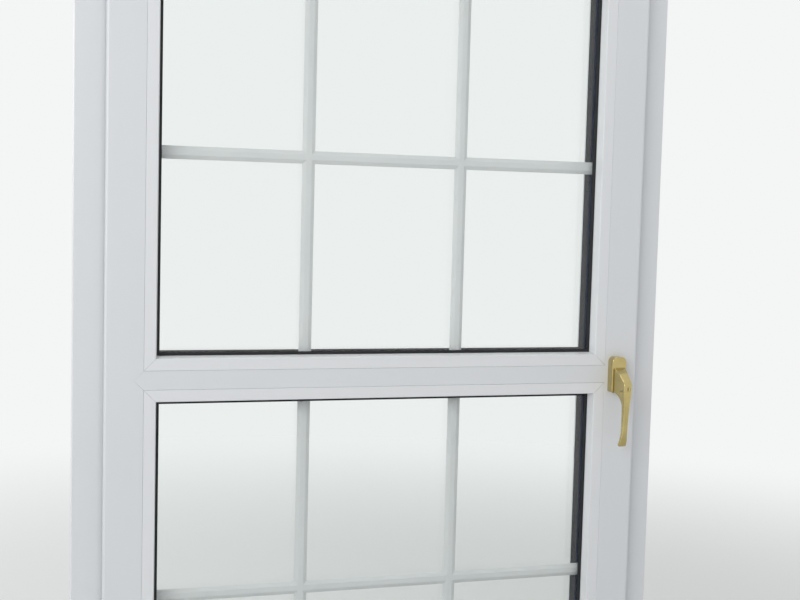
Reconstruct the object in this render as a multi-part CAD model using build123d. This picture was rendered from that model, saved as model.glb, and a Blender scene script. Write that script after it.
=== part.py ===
"""Tilt and turn window: one inward-opening sash with a mid rail, in its fixed uPVC frame.

The model is in millimetres. X runs to the right as seen from the room, +Y points outside, +Z up.
The origin is the middle of the frame's bottom face. A section is drawn with its first coordinate
running inward from the edge of the member (u in the frame, w in the sash) and its second along Y.
"""
from build123d import *
from math import asin, atan2, cos, degrees, pi
import os

# Fixed frame
FRAME_WIDTH = 866.0
FRAME_HEIGHT = 1392.0
FRAME_DEPTH = 70.0
FRAME_FACE = 48.0            # outer edge to rebate floor
UPSTAND_HEIGHT = 20.0        # outside upstand above the rebate floor
UPSTAND_DEPTH = 15.5
WALL = 2.8                   # outer walls of all profiles
WEB = 2.5                    # inner webs of all profiles
EDGE_BEVEL = 6.5             # bevel on the outside upstands
SEAL_GROOVE_WIDTH = 3.0
SEAL_GROOVE_DEPTH = 2.5
SEAL_INSET = 3.0             # lip edge to the groove of the sash seal
# Bulb of a seal: offset from the middle of its groove, and depth behind the tip, None at the root
FRAME_SEAL_BULB = ((3.2, None), (4.2, 1.6), (3.0, 0.0), (-2.2, 0.0), (-3.4, 1.8), (-3.0, None))
SASH_SEAL_BULB = ((2.4, None), (3.0, 1.6), (1.8, 0.0), (-2.2, 0.0), (-3.2, 1.8), (-2.6, None))
FRAME_ROOM_CHAMBER = 12.0
FRAME_STEEL_DEPTH = 25.5
SASH_STEEL_DEPTH = 18.25
WELD_WIDTH = 0.9
WELD_DEPTH = 0.35
OVERRUN = 1.0                # how far a cutter runs past the face that it opens

# Sash
SASH_DEPTH = 70.0
LIP_OVERLAP = 8.0            # sash lip over the frame's room face
LIP_HEIGHT = 20.0            # lip edge to body edge
SEAL_GAP = 4.5
SASH_BODY = 28.0             # body edge to glazing rebate floor
NIB_HEIGHT = 4.0
NIB_DEPTH = 4.0
LIP_ROUND = 4.0
GASKET_NOTCH_GAP = 1.5
MID_RAIL_FACE = 26.0         # between the bead joints of the mid rail
GROOVE_OFFSET = 13.0         # hardware groove axis behind the lip
GROOVE_WIDTH = 12.0
GROOVE_DEPTH = 12.0
SHOULDER_WIDTH = 16.5
SHOULDER_DEPTH = 3.0
CLIP_GROOVE_WIDTH = 3.0
CLIP_GROOVE_DEPTH = 3.0
CLIP_GROOVE_SETBACK = 1.5

# Glazing
BEAD_FACE = 18.5
BEAD_SLOPE = 2.0
BEAD_ROUND = 1.5
BEAD_JOINT_GAP = 0.15
BEAD_MITRE_GAP = 0.12
BEAD_WALL = 1.8
OUTER_REBATE_WALL = 16.5     # sash upstand outside the glass
OUTER_GASKET_THICKNESS = 3.5
BEAD_GASKET_THICKNESS = 4.0
GASKET_SHOW = 4.0            # gasket seen beside the bead
GASKET_FOOT = 4.0            # edge of the pane to the gasket
GASKET_LIP_EDGE = 0.6
GASKET_LIP_OUT = 1.0
GASKET_LIP_TIP = 1.3
GLASS_COVER = 18.0
PANE_THICKNESS = 4.0
CAVITY = 20.0
EDGE_SEAL_DEPTH = 5.0
SPACER_HEIGHT = 10.0
SPACER_WALL = 0.8
BREATHER_RADIUS = 0.8
BAR_WIDTH = 18.0
BAR_DEPTH = 8.0
BAR_FLAT = 7.2               # flat crown of a glazing bar
BAR_EDGE = 2.6               # depth of a glazing bar at its edge
BAR_COLUMNS = 3
BAR_ROWS = 2
PACKER_LENGTH = 90.0
PACKER_INSET = 60.0

# Hardware in the sash groove
BACKSET = 15.0               # spindle axis behind the faceplate
FACEPLATE_RECESS = 0.4
FACEPLATE_THICKNESS = 1.8
FACEPLATE_WIDTH = 16.0
LOCK_BAR_GAP = 0.2
LOCK_BAR_THICKNESS = 1.95
LOCK_BAR_WIDTH = 11.2
BAR_TRAVEL = 30.0
GEAR_TEETH = 20              # teeth that a full turn of the pinion would need
TOOTH_HEIGHT = 1.8
TOOTH_ROOT_GAP = 0.2
TOOTH_BASE_SHARE = 0.30      # half tooth at its root over the tooth pitch
TOOTH_TIP_SHARE = 0.11
TOOTH_SINK = 0.3             # root of a pinion tooth inside the wheel
RACK_EXTRA_TEETH = 3
PINION_WIDTH = 8.0
PINION_JOURNAL = 12.0
RUNNING_GAP = 0.05
CAM_HEAD_RADIUS = 5.5
CAM_HEAD_HEIGHT = 3.3
CAM_NECK_RADIUS = 3.0
CAM_REACH = 7.8              # cam head above the sash body edge
CAM_RIVET_RADIUS = 2.4       # end of the cam, riveted into its bar
CAM_SLOT_GAP = 0.5
KEEP_BASE = 2.3
KEEP_HOOK_HEIGHT = 9.0       # hook tip above the rebate floor
KEEP_HOOK_THICKNESS = 3.3
KEEP_HOOK_LENGTH = 18.0
KEEP_CLEAR = 2.0             # cam at rest to hook, along the bar
KEEP_SIDE_GAP = 1.2
KEEP_BACK_GAP = 1.0
KEEP_END = 5.0               # hook to the end of the base
KEEP_SCREW_SIDE = 4.0
KEEP_SCREW_START = 2.0       # first screw past the start of the hook
KEEP_SCREW_END = 7.0         # last screw to the end of the base
CORNER_DRIVE_LEG = 45.0
CORNER_DRIVE_WALL = 1.4
CORNER_CHANNEL = 3.0
FACEPLATE_MARGIN = 1.0
LOCK_CAM_INSET = 326.0
TILT_CAM_STATION = 143.0
TOP_BAR_LEAD = 27.5          # stay stud to the start of the top bar
TOP_PLATE_LEAD = 64.5        # start of the top faceplate to the stay stud
BOTTOM_PLATE_INSET = 146.0   # bottom faceplate to the hinge edge of the sash
BOTTOM_BAR_INSET = 40.0      # end of the bottom bar to the end of its faceplate
BOTTOM_CAM_INSET = 87.0      # bottom lock cam to the end of its bar
CORNER_BAR_GAP = 3.0         # bar to the corner drive
CORNER_SCREW_STEP = 60.0     # first faceplate screw past a corner drive or the start of a bar
GEARBOX_SCREW_STEP = 120.0   # spindle axis to the next faceplate screws
TILT_SCREW_STEP = 80.0       # tilt cam to the next faceplate screw
BOTTOM_SCREW_STEP = 110.0    # bottom lock cam to the faceplate screw before it
PLATE_END_SCREW = 15.0       # last screw to the end of the bottom faceplate
SCREW_RADIUS = 1.95
SCREW_HEAD_RADIUS = 3.6
SCREW_HEAD_HEIGHT = 1.2
SCREW_REACH = 17.0
HOLE_GAP = 0.1
GEARBOX_HALF_HEIGHT = 29.0
GEARBOX_DEPTH = 13.4
GEARBOX_CHEEK = 2.0
GEARBOX_BACK_WALL = 1.0
POCKET_GAP = 0.1

# Hinge side
HINGE_OUT = 15.0             # hinge axis beside the sash lip
HINGE_FRONT = 10.0           # hinge axis in front of the frame's room face
TILT_AXIS_DROP = 4.0         # tilt axis below the sash lip
BRACKET_THICKNESS = 2.5
BRACKET_WIDTH = 23.5
BRACKET_HEIGHT = 62.0
BRACKET_INSET = 10.0         # bracket to the end of the frame
BRACKET_SIDE_INSET = 1.0     # bracket to the side of the frame
KNUCKLE_RADIUS = 6.5
HINGE_PIN_RADIUS = 3.0
PIN_HEAD_RADIUS = 4.8
PIN_HEAD_HEIGHT = 2.0
KNUCKLE_GAP = 0.3
PIVOT_LUG_HEIGHT = 9.0
PIVOT_BLOCK_HEIGHT = 36.0
PIVOT_BLOCK_DROP = 14.0      # pivot block below the tilt axis
PIVOT_BLOCK_EDGE = 1.2
TILT_PIN_RADIUS = 3.0
TILT_EYE_WIDTH = 6.5
TILT_EYE_RADIUS = 5.5
TONGUE_THICKNESS = 3.0
TONGUE_HEIGHT = 24.0
TONGUE_DROP = 1.0            # foot of the tongue below the tilt axis
HINGE_BODY_HEIGHT = 88.0
HINGE_BODY_THICKNESS = 9.6
HINGE_BODY_DEPTH = 24.0
REBATE_RUN_GAP = 1.6         # hinge parts to the frame's rebate edge
STAY_KNUCKLE_HEIGHT = 10.0
STAY_LUG_HEIGHT = 6.5
STAY_THICKNESS = 6.0
STAY_WIDTH = 12.0
STAY_NECK_LAP = 2.0
STAY_BACK_GAP = 1.2          # arm to the back of the sash lip
STAY_BEND_START = 6.0
STAY_BEND_END = 14.0
STAY_REACH = 380.0           # hinge axis to stud
STAY_STUD_RADIUS = 4.0
STAY_STUD_GAP = 1.5          # stud tip above the floor of the groove
STAY_SLIDE = 17.8            # how far the stud runs along its slot when the sash tilts
STAY_SLOT_WIDTH = 11.2
STAY_SLOT_END = 2.0          # stud to the end of its slot
COVER_DEPTH = 6.0
COVER_WALL = 1.2
COVER_WIDTH = 13.5
COVER_ROUND = 2.4
BRACKET_SCREW_RADIUS = 2.0
BRACKET_SCREW_LENGTH = 18.0
BRACKET_SCREW_PITCH = 38.0
BRACKET_HEAD_HEIGHT = 2.0

# Run-up block
RUNUP_LENGTH = 34.0
RUNUP_DEPTH = 26.0
RUNUP_STATION = 62.0
RUNUP_GAP = 0.4
RUNUP_BEVEL = 3.0
RUNUP_SHIFT = 4.0            # towards the room from the middle of the sash steel

# Handle
HANDLE_BASE_WIDTH = 23.0
HANDLE_BASE_HEIGHT = 54.0
HANDLE_BASE_DEPTH = 15.0
HANDLE_BASE_TOP_ROUND = 8.0
HANDLE_BASE_FOOT_ROUND = 2.5
HANDLE_COVER_WALL = 1.3
HANDLE_COVER_EDGE = 1.04
HANDLE_PLATE_THICKNESS = 5.0
HANDLE_SCREW_PITCH = 43.0
HANDLE_SCREW_RADIUS = 2.5
HANDLE_SCREW_HEAD = 3.6
HANDLE_HEAD_SEAT = 2.0       # plate left under the screw heads
HANDLE_NECK_RADIUS = 8.5
SPINDLE_SQUARE = 7.0
SPINDLE_IN_LEVER = 8.0
SPINDLE_HOLE_RADIUS = 6.3
BASE_BORE_RADIUS = 5.25
LEVER_GAP = 0.4
LEVER_FRONT = 44.6           # front of the hub, from the sash face
LEVER_ROOT_HALF = 9.0        # half width of the hub at the base
LEVER_FRONT_HALF = 6.1       # half width of the hub at its front
LEVER_EDGE = 1.1
LEVER_LENGTH = 106.0         # spindle axis to tip
GRIP_WIDTH = 10.0
GRIP_THICKNESS = 10.0
GRIP_ROUND = 3.4
TIP_WIDTH = 13.0
TIP_THICKNESS = 6.0
TIP_ROUND = 2.2
HUB_ROOT = HANDLE_BASE_DEPTH + LEVER_GAP
GRIP_BACK = LEVER_FRONT - GRIP_THICKNESS
GRIP_MIDDLE = LEVER_FRONT - GRIP_THICKNESS / 2
# Side profile of the hub: distance from the sash face, height above the spindle axis, corner round
HUB_PROFILE = (
    (HUB_ROOT, 11.0, 0), (HUB_ROOT + 16.0, 1.5, 12.0), (LEVER_FRONT - 3.5, -6.5, 0),
    (LEVER_FRONT, -11.0, 4.0), (LEVER_FRONT, -32.0, 0), (GRIP_BACK, -38.0, 0),
    (GRIP_BACK - 3.0, -34.0, 6.0), (HUB_ROOT, -25.0, 3.0))
# Stations of the grip: height above the spindle axis, distance from the sash face, width, thickness
GRIP_STATIONS = (
    (-28.0, GRIP_MIDDLE - 0.7, GRIP_WIDTH + 1.0, GRIP_THICKNESS),
    (-46.0, GRIP_MIDDLE - 0.8, GRIP_WIDTH, GRIP_THICKNESS),
    (-68.0, GRIP_MIDDLE - 1.7, GRIP_WIDTH - 1.0, GRIP_THICKNESS - 0.8),
    (-86.0, GRIP_MIDDLE - 2.8, GRIP_WIDTH - 1.0, GRIP_THICKNESS - 2.0),
    (-97.0, GRIP_MIDDLE - 5.0, TIP_WIDTH - 1.6, TIP_THICKNESS + 0.6),
    (-LEVER_LENGTH, GRIP_MIDDLE - 8.8, TIP_WIDTH, TIP_THICKNESS))
KEY_SINK = 0.3               # key barrel behind the front of the lever
KEY_BARREL_RADIUS = 3.9
KEY_BARREL_DEPTH = 11.0
KEY_BARREL_DROP = 17.5
KEY_SLOT_WIDTH = 1.4
KEY_SLOT_LENGTH = 5.4
KEY_SLOT_DEPTH = 4.0

# Fixing holes and drainage
FIXING_RADIUS = 4.0
FIXING_INSET = 150.0
HEAD_FIXING_INSET = 150.0
FIXING_Y = -4.75
DRAIN_LENGTH = 28.0
DRAIN_WIDTH = 5.0
DRAIN_INSET = 140.0
DRAIN_RISE = 9.0
DRAIN_SETBACK = 0.5
SASH_DRAIN_HEIGHT = 3.5
DRAIN_CAP_LENGTH = 42.0
DRAIN_CAP_HEIGHT = 14.0
DRAIN_CAP_DEPTH = 6.0
DRAIN_CAP_WALL = 1.5
DRAIN_CAP_SLOPE = 3.6
VENT_RADIUS = 3.0
STEEL_WALL = 1.5
STEEL_GAP = 0.5
STEEL_CORNER_GAP = 20.0

# Places that follow from the sizes above
LIP_INSET = FRAME_FACE - LIP_OVERLAP
HALF_FRAME = FRAME_WIDTH / 2
HALF_SASH = HALF_FRAME - LIP_INSET
SASH_BOTTOM = LIP_INSET
SASH_TOP = FRAME_HEIGHT - LIP_INSET
SASH_WIDTH = 2 * HALF_SASH
SASH_HEIGHT = SASH_TOP - SASH_BOTTOM
MID_Z = (SASH_BOTTOM + SASH_TOP) / 2

FRAME_ROOM_Y = -FRAME_DEPTH / 2
FRAME_OUT_Y = FRAME_DEPTH / 2
UPSTAND_Y = FRAME_OUT_Y - UPSTAND_DEPTH
SASH_OUT_Y = UPSTAND_Y - SEAL_GAP
SASH_ROOM_Y = SASH_OUT_Y - SASH_DEPTH
LIP_BACK_Y = FRAME_ROOM_Y - SEAL_GAP
GROOVE_Y = LIP_BACK_Y + GROOVE_OFFSET

BODY_W = LIP_HEIGHT
FLOOR_W = BODY_W + SASH_BODY
JOINT_W = FLOOR_W + NIB_HEIGHT
SIGHT_W = JOINT_W + BEAD_FACE
GLASS_W = SIGHT_W - GLASS_COVER
GASKET_W = SIGHT_W + GASKET_SHOW
SPACER_W = GLASS_W + EDGE_SEAL_DEPTH
SPACER_SIGHT_W = SPACER_W + SPACER_HEIGHT
REBATE_GAP = LIP_HEIGHT - LIP_OVERLAP

GLASS_SEAT_Y = SASH_OUT_Y - OUTER_REBATE_WALL
OUTER_PANE_Y = GLASS_SEAT_Y - OUTER_GASKET_THICKNESS
CAVITY_OUT_Y = OUTER_PANE_Y - PANE_THICKNESS
CAVITY_ROOM_Y = CAVITY_OUT_Y - CAVITY
GLASS_ROOM_Y = CAVITY_ROOM_Y - PANE_THICKNESS
BEAD_BACK_Y = GLASS_ROOM_Y - BEAD_GASKET_THICKNESS
CAVITY_MID_Y = (CAVITY_OUT_Y + CAVITY_ROOM_Y) / 2

HANDLE_X = HALF_SASH - BODY_W - BACKSET
HINGE_X = -HALF_SASH - HINGE_OUT
HINGE_Y = FRAME_ROOM_Y - HINGE_FRONT
TILT_Z = SASH_BOTTOM - TILT_AXIS_DROP
TONGUE_Y = (LIP_BACK_Y + FRAME_ROOM_Y) / 2
STAY_Z = (SASH_TOP - BODY_W) + REBATE_GAP / 2

PLATE_W = BODY_W + FACEPLATE_RECESS
BAR_W = PLATE_W + FACEPLATE_THICKNESS + LOCK_BAR_GAP
CAM_TIP_W = BODY_W - CAM_REACH
KEEP_W = LIP_OVERLAP
PITCH_RADIUS = BAR_TRAVEL / pi
TOOTH_PITCH = 2 * PITCH_RADIUS * pi / GEAR_TEETH
SPINDLE_W = BODY_W + BACKSET
GEARBOX_BACK_W = SPINDLE_W + PITCH_RADIUS + TOOTH_HEIGHT / 2 + TOOTH_ROOT_GAP + GEARBOX_BACK_WALL
GEARBOX_FRONT_W = BAR_W + LOCK_BAR_THICKNESS + LOCK_BAR_GAP
PITCH_LINE_W = SPINDLE_W - PITCH_RADIUS

STAY_ANGLE = asin((GROOVE_Y - HINGE_Y) / STAY_REACH)
STUD_X = HINGE_X + STAY_REACH * cos(STAY_ANGLE)
STUD_STATION = STUD_X + HALF_SASH
CORNER_BAR_END = BODY_W + CORNER_DRIVE_LEG + CORNER_BAR_GAP
TOP_PLATE_START = STUD_STATION - TOP_PLATE_LEAD
TOP_BAR_START = STUD_STATION + TOP_BAR_LEAD
TOP_BAR_END = SASH_WIDTH - CORNER_BAR_END - BAR_TRAVEL
TOP_CAM_STATION = (TOP_BAR_START + TOP_BAR_END) / 2
BOTTOM_PLATE_END = SASH_WIDTH - BOTTOM_PLATE_INSET
BOTTOM_BAR_END = BOTTOM_PLATE_END - BOTTOM_BAR_INSET
BOTTOM_CAM_STATION = BOTTOM_BAR_END - BOTTOM_CAM_INSET
LOCK_CAM_STATIONS = (LOCK_CAM_INSET, SASH_HEIGHT - LOCK_CAM_INSET)


class Frame2D:
    """A rectangle in elevation whose edges carry mitred members."""

    def __init__(self, x0, x1, z0, z1):
        self.x0, self.x1, self.z0, self.z1 = x0, x1, z0, z1

    def side(self, name):
        """Return the working plane of one side: x inward, y along Y, z along the member."""
        planes = {
            "bottom": Plane(origin=(self.x1, 0, self.z0), x_dir=(0, 0, 1), z_dir=(-1, 0, 0)),
            "left": Plane(origin=(self.x0, 0, self.z0), x_dir=(1, 0, 0), z_dir=(0, 0, 1)),
            "top": Plane(origin=(self.x0, 0, self.z1), x_dir=(0, 0, -1), z_dir=(1, 0, 0)),
            "right": Plane(origin=(self.x1, 0, self.z1), x_dir=(-1, 0, 0), z_dir=(0, 0, -1)),
        }
        return planes[name]

    def length(self, name):
        """Return the outside length of one side."""
        if name in ("bottom", "top"):
            return self.x1 - self.x0
        return self.z1 - self.z0


FRAME_RECT = Frame2D(-HALF_FRAME, HALF_FRAME, 0, FRAME_HEIGHT)
SASH_RECT = Frame2D(-HALF_SASH, HALF_SASH, SASH_BOTTOM, SASH_TOP)
SIDES = ("bottom", "left", "top", "right")

MID_HALF = MID_RAIL_FACE / 2
UPPER_LIGHT = Frame2D(-HALF_SASH, HALF_SASH, MID_Z + MID_HALF - JOINT_W, SASH_TOP)
LIGHT_DROP = (SASH_TOP - SASH_BOTTOM) / 2 + MID_HALF - JOINT_W


def outline(points):
    """Return the face enclosed by a list of points."""
    return make_face(Polyline(*points, close=True))


def box_between(x0, x1, y0, y1, z0, z1):
    """Return a box given by its limits."""
    return Pos((x0 + x1) / 2, (y0 + y1) / 2, (z0 + z1) / 2) * Box(x1 - x0, y1 - y0, z1 - z0)


def rod(start, direction, radius, length):
    """Return a cylinder that starts at a point and runs along a direction."""
    return extrude(Plane(origin=start, z_dir=direction) * Circle(radius), length)


def mitre_prism(rect, name, reach, gap=0.0):
    """Return the prism between the 45 degree cuts at the ends of one side of a rectangle."""
    length = rect.length(name)
    plane = rect.side(name)
    cut = outline([(0, gap), (reach, reach + gap), (reach, length - reach - gap), (0, length - gap)])
    wedge_plane = Plane(origin=plane.origin, x_dir=plane.x_dir, z_dir=-plane.y_dir)
    return extrude(wedge_plane * cut, 2 * FRAME_DEPTH, both=True)


def mitred_side(face, rect, name, reach, gap=0.0):
    """Return one member of a ring: a section run along one side and cut at 45 degrees."""
    return extrude(rect.side(name) * face, rect.length(name)) & mitre_prism(rect, name, reach, gap)


def mitred_ring(face, rect, reach):
    """Return a section run round a rectangle, with mitred corners."""
    ring = mitred_side(face, rect, SIDES[0], reach)
    for name in SIDES[1:]:
        ring += mitred_side(face, rect, name, reach)
    return ring


def pointed_prism(half_length, reach):
    """Return the prism of the mid rail, pointed at 45 degrees where it meets the stiles."""
    points = [(-half_length, 0), (-half_length + reach, reach), (half_length - reach, reach),
              (half_length, 0), (half_length - reach, -reach), (-half_length + reach, -reach)]
    return extrude(Plane.XZ * outline([(x, z + MID_Z) for x, z in points]), 2 * FRAME_DEPTH, both=True)


def pointed_bar(face, half_length, reach):
    """Return a mid rail member whose ends are pointed at 45 degrees to meet the stiles."""
    plane = Plane(origin=(-half_length, 0, MID_Z), x_dir=(0, 0, -1), z_dir=(1, 0, 0))
    return extrude(plane * face, 2 * half_length) & pointed_prism(half_length, reach)


def weld_line(x, z, along, length, y):
    """Return the cutter for a cleaned weld seam that runs at an angle from just before (x, z)."""
    seam = Pos((length - WELD_WIDTH) / 2, 0, 0) * Box(length + WELD_WIDTH, 2 * WELD_DEPTH, WELD_WIDTH)
    return Pos(x, y, z) * Rot(0, -along, 0) * seam


def corner_welds(rect, start, end, y):
    """Return the weld seams at the four corners of a ring, between two insets."""
    cutters = []
    length = (end - start) * 2 ** 0.5
    for sx in (-1, 1):
        for sz in (-1, 1):
            x = (rect.x0 if sx < 0 else rect.x1) - sx * end
            z = (rect.z0 if sz < 0 else rect.z1) - sz * end
            cutters.append(weld_line(x, z, degrees(atan2(sz, sx)), length, y))
    return cutters


# Fixed frame

def frame_section():
    """Return the outline of the frame profile."""
    top = FRAME_FACE + UPSTAND_HEIGHT
    groove = FRAME_FACE + (UPSTAND_HEIGHT + EDGE_BEVEL) / 2
    half = SEAL_GROOVE_WIDTH / 2
    return outline([
        (0, FRAME_ROOM_Y), (FRAME_FACE, FRAME_ROOM_Y), (FRAME_FACE, UPSTAND_Y),
        (groove - half, UPSTAND_Y), (groove - half, UPSTAND_Y + SEAL_GROOVE_DEPTH),
        (groove + half, UPSTAND_Y + SEAL_GROOVE_DEPTH), (groove + half, UPSTAND_Y),
        (top, UPSTAND_Y), (top, FRAME_OUT_Y - EDGE_BEVEL), (top - EDGE_BEVEL, FRAME_OUT_Y), (0, FRAME_OUT_Y)])


FRAME_STEEL_Y0 = FRAME_ROOM_Y + WALL + FRAME_ROOM_CHAMBER + WEB
FRAME_STEEL_Y1 = FRAME_STEEL_Y0 + FRAME_STEEL_DEPTH
FRAME_STEEL_U0 = 2 * (WALL + WEB)
FRAME_STEEL_U1 = FRAME_FACE - WALL


def frame_chambers():
    """Return the hollow chambers of the frame profile."""
    top = FRAME_FACE + UPSTAND_HEIGHT - WALL
    outer_y0 = FRAME_STEEL_Y1 + WEB
    step_y = UPSTAND_Y + SEAL_GROOVE_DEPTH + WALL
    room = outline([(WALL, FRAME_ROOM_Y + WALL), (FRAME_STEEL_U1, FRAME_ROOM_Y + WALL),
                    (FRAME_STEEL_U1, FRAME_STEEL_Y0 - WEB), (WALL, FRAME_STEEL_Y0 - WEB)])
    edge = outline([(WALL, FRAME_STEEL_Y0), (FRAME_STEEL_U0 - WEB, FRAME_STEEL_Y0),
                    (FRAME_STEEL_U0 - WEB, FRAME_STEEL_Y1), (WALL, FRAME_STEEL_Y1)])
    steel = outline([(FRAME_STEEL_U0, FRAME_STEEL_Y0), (FRAME_STEEL_U1, FRAME_STEEL_Y0),
                     (FRAME_STEEL_U1, FRAME_STEEL_Y1), (FRAME_STEEL_U0, FRAME_STEEL_Y1)])
    bevel = EDGE_BEVEL - WALL / 2
    outer = outline([(WALL, outer_y0), (FRAME_STEEL_U1, outer_y0), (FRAME_STEEL_U1, step_y), (top, step_y),
                     (top, FRAME_OUT_Y - bevel - WALL), (top - bevel, FRAME_OUT_Y - WALL),
                     (WALL, FRAME_OUT_Y - WALL)])
    return [room, edge, steel, outer]


def fixing_holes():
    """Return the drills for the frame fixings in both jambs and the head."""
    drills = []
    through = FRAME_FACE + 2 * OVERRUN
    for side in (-1, 1):
        for z in (FIXING_INSET, FRAME_HEIGHT / 2, FRAME_HEIGHT - FIXING_INSET):
            start = (side * (HALF_FRAME + OVERRUN), FIXING_Y, z)
            drills.append(rod(start, (-side, 0, 0), FIXING_RADIUS, through))
        start = (side * (HALF_FRAME - HEAD_FIXING_INSET), FIXING_Y, FRAME_HEIGHT + OVERRUN)
        drills.append(rod(start, (0, 0, -1), FIXING_RADIUS, through))
    return drills


def bracket_screw_places():
    """Return where the hinge bracket screws enter the frame's room face."""
    x = -HALF_FRAME + BRACKET_SIDE_INSET + COVER_WIDTH / 2
    places = []
    for centre in (BRACKET_INSET + BRACKET_HEIGHT / 2, FRAME_HEIGHT - BRACKET_INSET - BRACKET_HEIGHT / 2):
        for step in (-1, 1):
            places.append((x, centre + step * BRACKET_SCREW_PITCH / 2))
    return places


def drain_stations():
    """Return the X places of the drain slots."""
    return (-HALF_SASH + DRAIN_INSET, HALF_SASH - DRAIN_INSET)


def frame_cutters():
    """Return all that is cut out of the frame's profiles."""
    cutters = corner_welds(FRAME_RECT, 0, FRAME_FACE, FRAME_ROOM_Y) + fixing_holes()
    for x in drain_stations():
        x0, x1 = x - DRAIN_LENGTH / 2, x + DRAIN_LENGTH / 2
        cutters.append(box_between(x0, x1, UPSTAND_Y - DRAIN_WIDTH, UPSTAND_Y - DRAIN_SETBACK,
                                   FRAME_FACE - WALL - OVERRUN, FRAME_FACE + OVERRUN))
        cutters.append(box_between(x0, x1, FRAME_OUT_Y - WALL - OVERRUN, FRAME_OUT_Y + OVERRUN,
                                   DRAIN_RISE, DRAIN_RISE + DRAIN_WIDTH))
    for x, z in bracket_screw_places():
        cutters.append(rod((x, FRAME_ROOM_Y - OVERRUN, z), (0, 1, 0), BRACKET_SCREW_RADIUS + HOLE_GAP,
                           WALL + 2 * OVERRUN))
    return cutters


def outer_frame():
    """Return the fixed frame: four mitred hollow profiles, welded to each other at the corners."""
    section = frame_section() - frame_chambers()
    reach = FRAME_FACE + UPSTAND_HEIGHT + OVERRUN
    cutters = frame_cutters()
    return Compound(children=[mitred_side(section, FRAME_RECT, name, reach) - cutters for name in SIDES])


def frame_steel():
    """Return the four steel reinforcement tubes of the frame."""
    u0, u1 = FRAME_STEEL_U0 + STEEL_GAP, FRAME_STEEL_U1 - STEEL_GAP
    y0, y1 = FRAME_STEEL_Y0 + STEEL_GAP, FRAME_STEEL_Y1 - STEEL_GAP
    tubes = []
    for name in SIDES:
        plane = FRAME_RECT.side(name)
        length = FRAME_RECT.length(name)
        inset = u1 + STEEL_CORNER_GAP
        tube = box_between(u0, u1, y0, y1, inset, length - inset)
        tube -= box_between(u0 + STEEL_WALL, u1 - STEEL_WALL, y0 + STEEL_WALL, y1 - STEEL_WALL,
                            inset - OVERRUN, length - inset + OVERRUN)
        tube = plane * tube
        for drill in fixing_holes():
            tube -= drill
        tubes.append(tube)
    return Compound(children=tubes)


def seal_section(centre, base, tip, bulb):
    """Return the section of a seal: a foot in its groove and a bulb that reaches to its tip."""
    half = SEAL_GROOVE_WIDTH / 2 - HOLE_GAP
    way = 1 if tip > base else -1
    root = base - way * (SEAL_GROOVE_DEPTH - HOLE_GAP)
    points = [(centre - half, base), (centre - half, root), (centre + half, root), (centre + half, base)]
    for offset, behind in bulb:
        points.append((centre + offset, base if behind is None else tip - way * behind))
    return outline(points)


def frame_gasket():
    """Return the outside seal on the frame's upstand."""
    centre = FRAME_FACE + (UPSTAND_HEIGHT + EDGE_BEVEL) / 2
    face = seal_section(centre, UPSTAND_Y, SASH_OUT_Y + KNUCKLE_GAP, FRAME_SEAL_BULB)
    return mitred_ring(face, FRAME_RECT, FRAME_FACE + UPSTAND_HEIGHT + OVERRUN)


def drain_caps():
    """Return the two drain covers on the outside face."""
    caps = []
    for x in drain_stations():
        z0 = DRAIN_RISE - (DRAIN_CAP_HEIGHT - DRAIN_WIDTH) / 2
        half = DRAIN_CAP_LENGTH / 2
        front = FRAME_OUT_Y + DRAIN_CAP_DEPTH
        cap = box_between(x - half, x + half, FRAME_OUT_Y, front, z0, z0 + DRAIN_CAP_HEIGHT)
        upper = cap.edges().filter_by(Axis.X).group_by(Axis.Y)[-1].group_by(Axis.Z)[-1]
        cap = chamfer(upper, DRAIN_CAP_SLOPE)
        cap -= box_between(x - half + DRAIN_CAP_WALL, x + half - DRAIN_CAP_WALL, FRAME_OUT_Y - OVERRUN,
                           front - 2 * DRAIN_CAP_WALL, z0 - OVERRUN, DRAIN_RISE + DRAIN_WIDTH)
        caps.append(cap)
    return Compound(children=caps)


# Sash

UPSTAND_BEVEL_Y = SASH_OUT_Y - EDGE_BEVEL


def clip_groove(floor):
    """Return the points of the nib and the bead clip groove, from the room face to the floor."""
    y1 = SASH_ROOM_Y + NIB_DEPTH
    y2 = y1 + CLIP_GROOVE_SETBACK
    y3 = y2 + CLIP_GROOVE_WIDTH
    deep = floor - CLIP_GROOVE_DEPTH
    nib = floor + NIB_HEIGHT
    return [(nib, SASH_ROOM_Y), (nib, y1), (floor, y1), (floor, y2), (deep, y2), (deep, y3), (floor, y3)]


def sash_section():
    """Return the outline of the sash profile."""
    shoulder = SHOULDER_WIDTH / 2
    groove = GROOVE_WIDTH / 2
    deep = BODY_W + GROOVE_DEPTH
    step = BODY_W + SHOULDER_DEPTH
    seal1 = SEAL_INSET + SEAL_GROOVE_WIDTH
    seal_y = LIP_BACK_Y - SEAL_GROOVE_DEPTH
    points = [(0, SASH_ROOM_Y)] + clip_groove(FLOOR_W) + [
        (FLOOR_W, GLASS_SEAT_Y), (SIGHT_W, GLASS_SEAT_Y), (SIGHT_W, UPSTAND_BEVEL_Y),
        (SIGHT_W - EDGE_BEVEL, SASH_OUT_Y), (BODY_W, SASH_OUT_Y),
        (BODY_W, GROOVE_Y + shoulder), (step, GROOVE_Y + shoulder), (step, GROOVE_Y + groove),
        (deep, GROOVE_Y + groove), (deep, GROOVE_Y - groove), (step, GROOVE_Y - groove),
        (step, GROOVE_Y - shoulder), (BODY_W, GROOVE_Y - shoulder), (BODY_W, LIP_BACK_Y),
        (seal1, LIP_BACK_Y), (seal1, seal_y), (SEAL_INSET, seal_y), (SEAL_INSET, LIP_BACK_Y), (0, LIP_BACK_Y)]
    face = outline(points)
    return fillet(face.vertices().sort_by_distance((0, SASH_ROOM_Y))[0], LIP_ROUND)


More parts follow.
